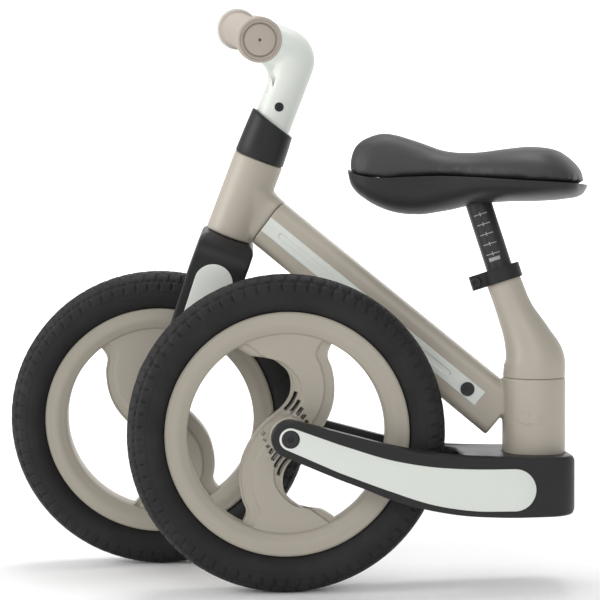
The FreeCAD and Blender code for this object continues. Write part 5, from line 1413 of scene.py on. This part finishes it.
class BIKE_OT_fittings(bpy.types.Operator):
    """Finish the axles, bolts, bearings, clamp and the other small pieces"""
    bl_idname = "bike.fittings"
    bl_label = "Fittings"

    def execute(self, context):
        slots = {row["node"]: row["material_slot"] for row in frame["record"]["subparts"]}
        for name, node in NODES.items():
            material = finish(SLOT_FINISH[slots[name]])
            for place in node.material_slots:
                place.material = material
        return {"FINISHED"}


class BIKE_OT_stage(bpy.types.Operator):
    """Set the pale floor, the soft lights and the camera"""
    bl_idname = "bike.stage"
    bl_label = "Stage"

    def execute(self, context):
        settings = context.scene.bike_stage
        floor = make_floor()
        make_lights(settings)
        make_camera(context)
        context.scene.view_settings.view_transform = "Standard"
        context.scene.view_settings.look = "None"
        return {"FINISHED"}


# ---- stage -------------------------------------------------------------------
def make_floor():
    """Floor that runs back and bends up into a backdrop on one quarter circle."""
    run = np.concatenate([np.linspace(-6.0, 3.0, 8), 3.0 + 1.5 * np.sin(np.linspace(0.1, math.pi / 2, 16)),
                          np.full(6, 4.5)])
    rise = np.concatenate([np.zeros(8), 1.5 - 1.5 * np.cos(np.linspace(0.1, math.pi / 2, 16)),
                           np.linspace(2.0, 6.0, 6)])
    across = np.linspace(-7.0, 7.0, 12)
    x, y = np.meshgrid(across, run, indexing="ij")
    z = np.broadcast_to(rise, x.shape)
    points = np.stack([x, y, z], axis=-1).reshape(-1, 3)
    mesh = bpy.data.meshes.new("floor")
    mesh.from_pydata(points.tolist(), [], grid_faces(12, len(run), False, False))
    floor = bpy.data.objects.new("floor", mesh)
    bpy.context.scene.collection.objects.link(floor)
    shade(floor, 60.0)
    mesh.materials.append(finish("pale_floor"))
    return floor


def area_light(name, place, target, size, power):
    """Rectangular soft light that faces a target."""
    light = bpy.data.lights.new(name, "AREA")
    light.shape = "RECTANGLE"
    light.size, light.size_y = size
    light.energy = power
    lamp = bpy.data.objects.new(name, light)
    bpy.context.scene.collection.objects.link(lamp)
    lamp.location = place
    lamp.rotation_euler = (Vector(target) - Vector(place)).to_track_quat("-Z", "Y").to_euler()
    return lamp


def make_lights(settings):
    """Pale surround, three soft lights on the bike and one on the backdrop."""
    world = bpy.context.scene.world or bpy.data.worlds.new("surround")
    bpy.context.scene.world = world
    world.use_nodes = True
    world.node_tree.nodes["Background"].inputs["Color"].default_value = (1.0, 1.0, 1.0, 1.0)
    world.node_tree.nodes["Background"].inputs["Strength"].default_value = settings.surround
    target = (0.2, 0.0, 0.28)
    area_light("key", (-2.0, -1.1, 1.1), target, (1.4, 1.6), 33.0 * settings.light)
    area_light("fill", (0.9, -2.4, 1.5), target, (1.6, 1.2), 14.0 * settings.light)
    area_light("top", (0.1, 0.3, 2.4), target, (1.2, 1.0), 24.0 * settings.light)
    area_light("backdrop", (0.2, 1.6, 2.4), (-0.3, 4.5, 0.9), (4.0, 1.0), 150.0 * settings.light)


def make_camera(context):
    """Camera at the rider's left, turned a little to the front and tilted down."""
    yaw, pitch, roll = 0.2605, 0.0522, -0.0046
    ahead = np.array([-math.sin(yaw) * math.cos(pitch), math.cos(yaw) * math.cos(pitch), -math.sin(pitch)])
    right = np.array([math.cos(yaw), math.sin(yaw), 0.0])
    above = np.cross(right, ahead)
    right_rolled = right * math.cos(roll) + above * math.sin(roll)
    above_rolled = above * math.cos(roll) - right * math.sin(roll)
    data = bpy.data.cameras.new("camera")
    data.lens = 97.67
    data.sensor_width = 36.0
    camera = bpy.data.objects.new("camera", data)
    context.scene.collection.objects.link(camera)
    turn = np.stack([right_rolled, above_rolled, -ahead], axis=-1)
    camera.matrix_world = Matrix.Translation((0.56088, -1.55336, 0.3552)) @ Matrix(turn.tolist()).to_4x4()
    context.scene.camera = camera


# ---- sidebar -----------------------------------------------------------------
class BIKE_PT_sidebar(bpy.types.Panel):
    """Sizes, finishes and the steps that make the bike"""
    bl_idname = "BIKE_PT_sidebar"
    bl_label = "Balance Bike"
    bl_space_type = "VIEW_3D"
    bl_region_type = "UI"
    bl_category = "Balance Bike"

    def draw(self, context):
        for group, names in SETTINGS.items():
            box = self.layout.box()
            box.label(text=names[1])
            for label in names[0].__annotations__:
                box.prop(getattr(context.scene, group), label)
        for step in STEPS:
            self.layout.operator(step.bl_idname)


SETTINGS = {
    "bike_tyres": (TyreSettings, "Tyres"),
    "bike_wheels": (WheelSettings, "Wheels"),
    "bike_forks": (ForkSettings, "Forks"),
    "bike_frame": (FrameSettings, "Frame"),
    "bike_saddle": (SaddleSettings, "Saddle"),
    "bike_finishes": (FinishSettings, "Finishes"),
    "bike_stage": (StageSettings, "Stage"),
}
STEPS = (BIKE_OT_stage, BIKE_OT_fittings, BIKE_OT_tyres, BIKE_OT_wheels, BIKE_OT_forks, BIKE_OT_frame,
         BIKE_OT_steering, BIKE_OT_saddle)


def register():
    for group, (settings, _) in SETTINGS.items():
        bpy.utils.register_class(settings)
        setattr(bpy.types.Scene, group, PointerProperty(type=settings))
    for step in STEPS:
        bpy.utils.register_class(step)
    bpy.utils.register_class(BIKE_PT_sidebar)


def unregister():
    bpy.utils.unregister_class(BIKE_PT_sidebar)
    for step in reversed(STEPS):
        bpy.utils.unregister_class(step)
    for group, (settings, _) in SETTINGS.items():
        delattr(bpy.types.Scene, group)
        bpy.utils.unregister_class(settings)


def main():
    """Make everything."""
    register()
    bpy.ops.bike.stage()
    bpy.ops.bike.fittings()
    bpy.ops.bike.tyres()
    bpy.ops.bike.wheels()
    bpy.ops.bike.forks()
    bpy.ops.bike.frame()
    bpy.ops.bike.steering()
    bpy.ops.bike.saddle()


if __name__ == "__main__":
    main()
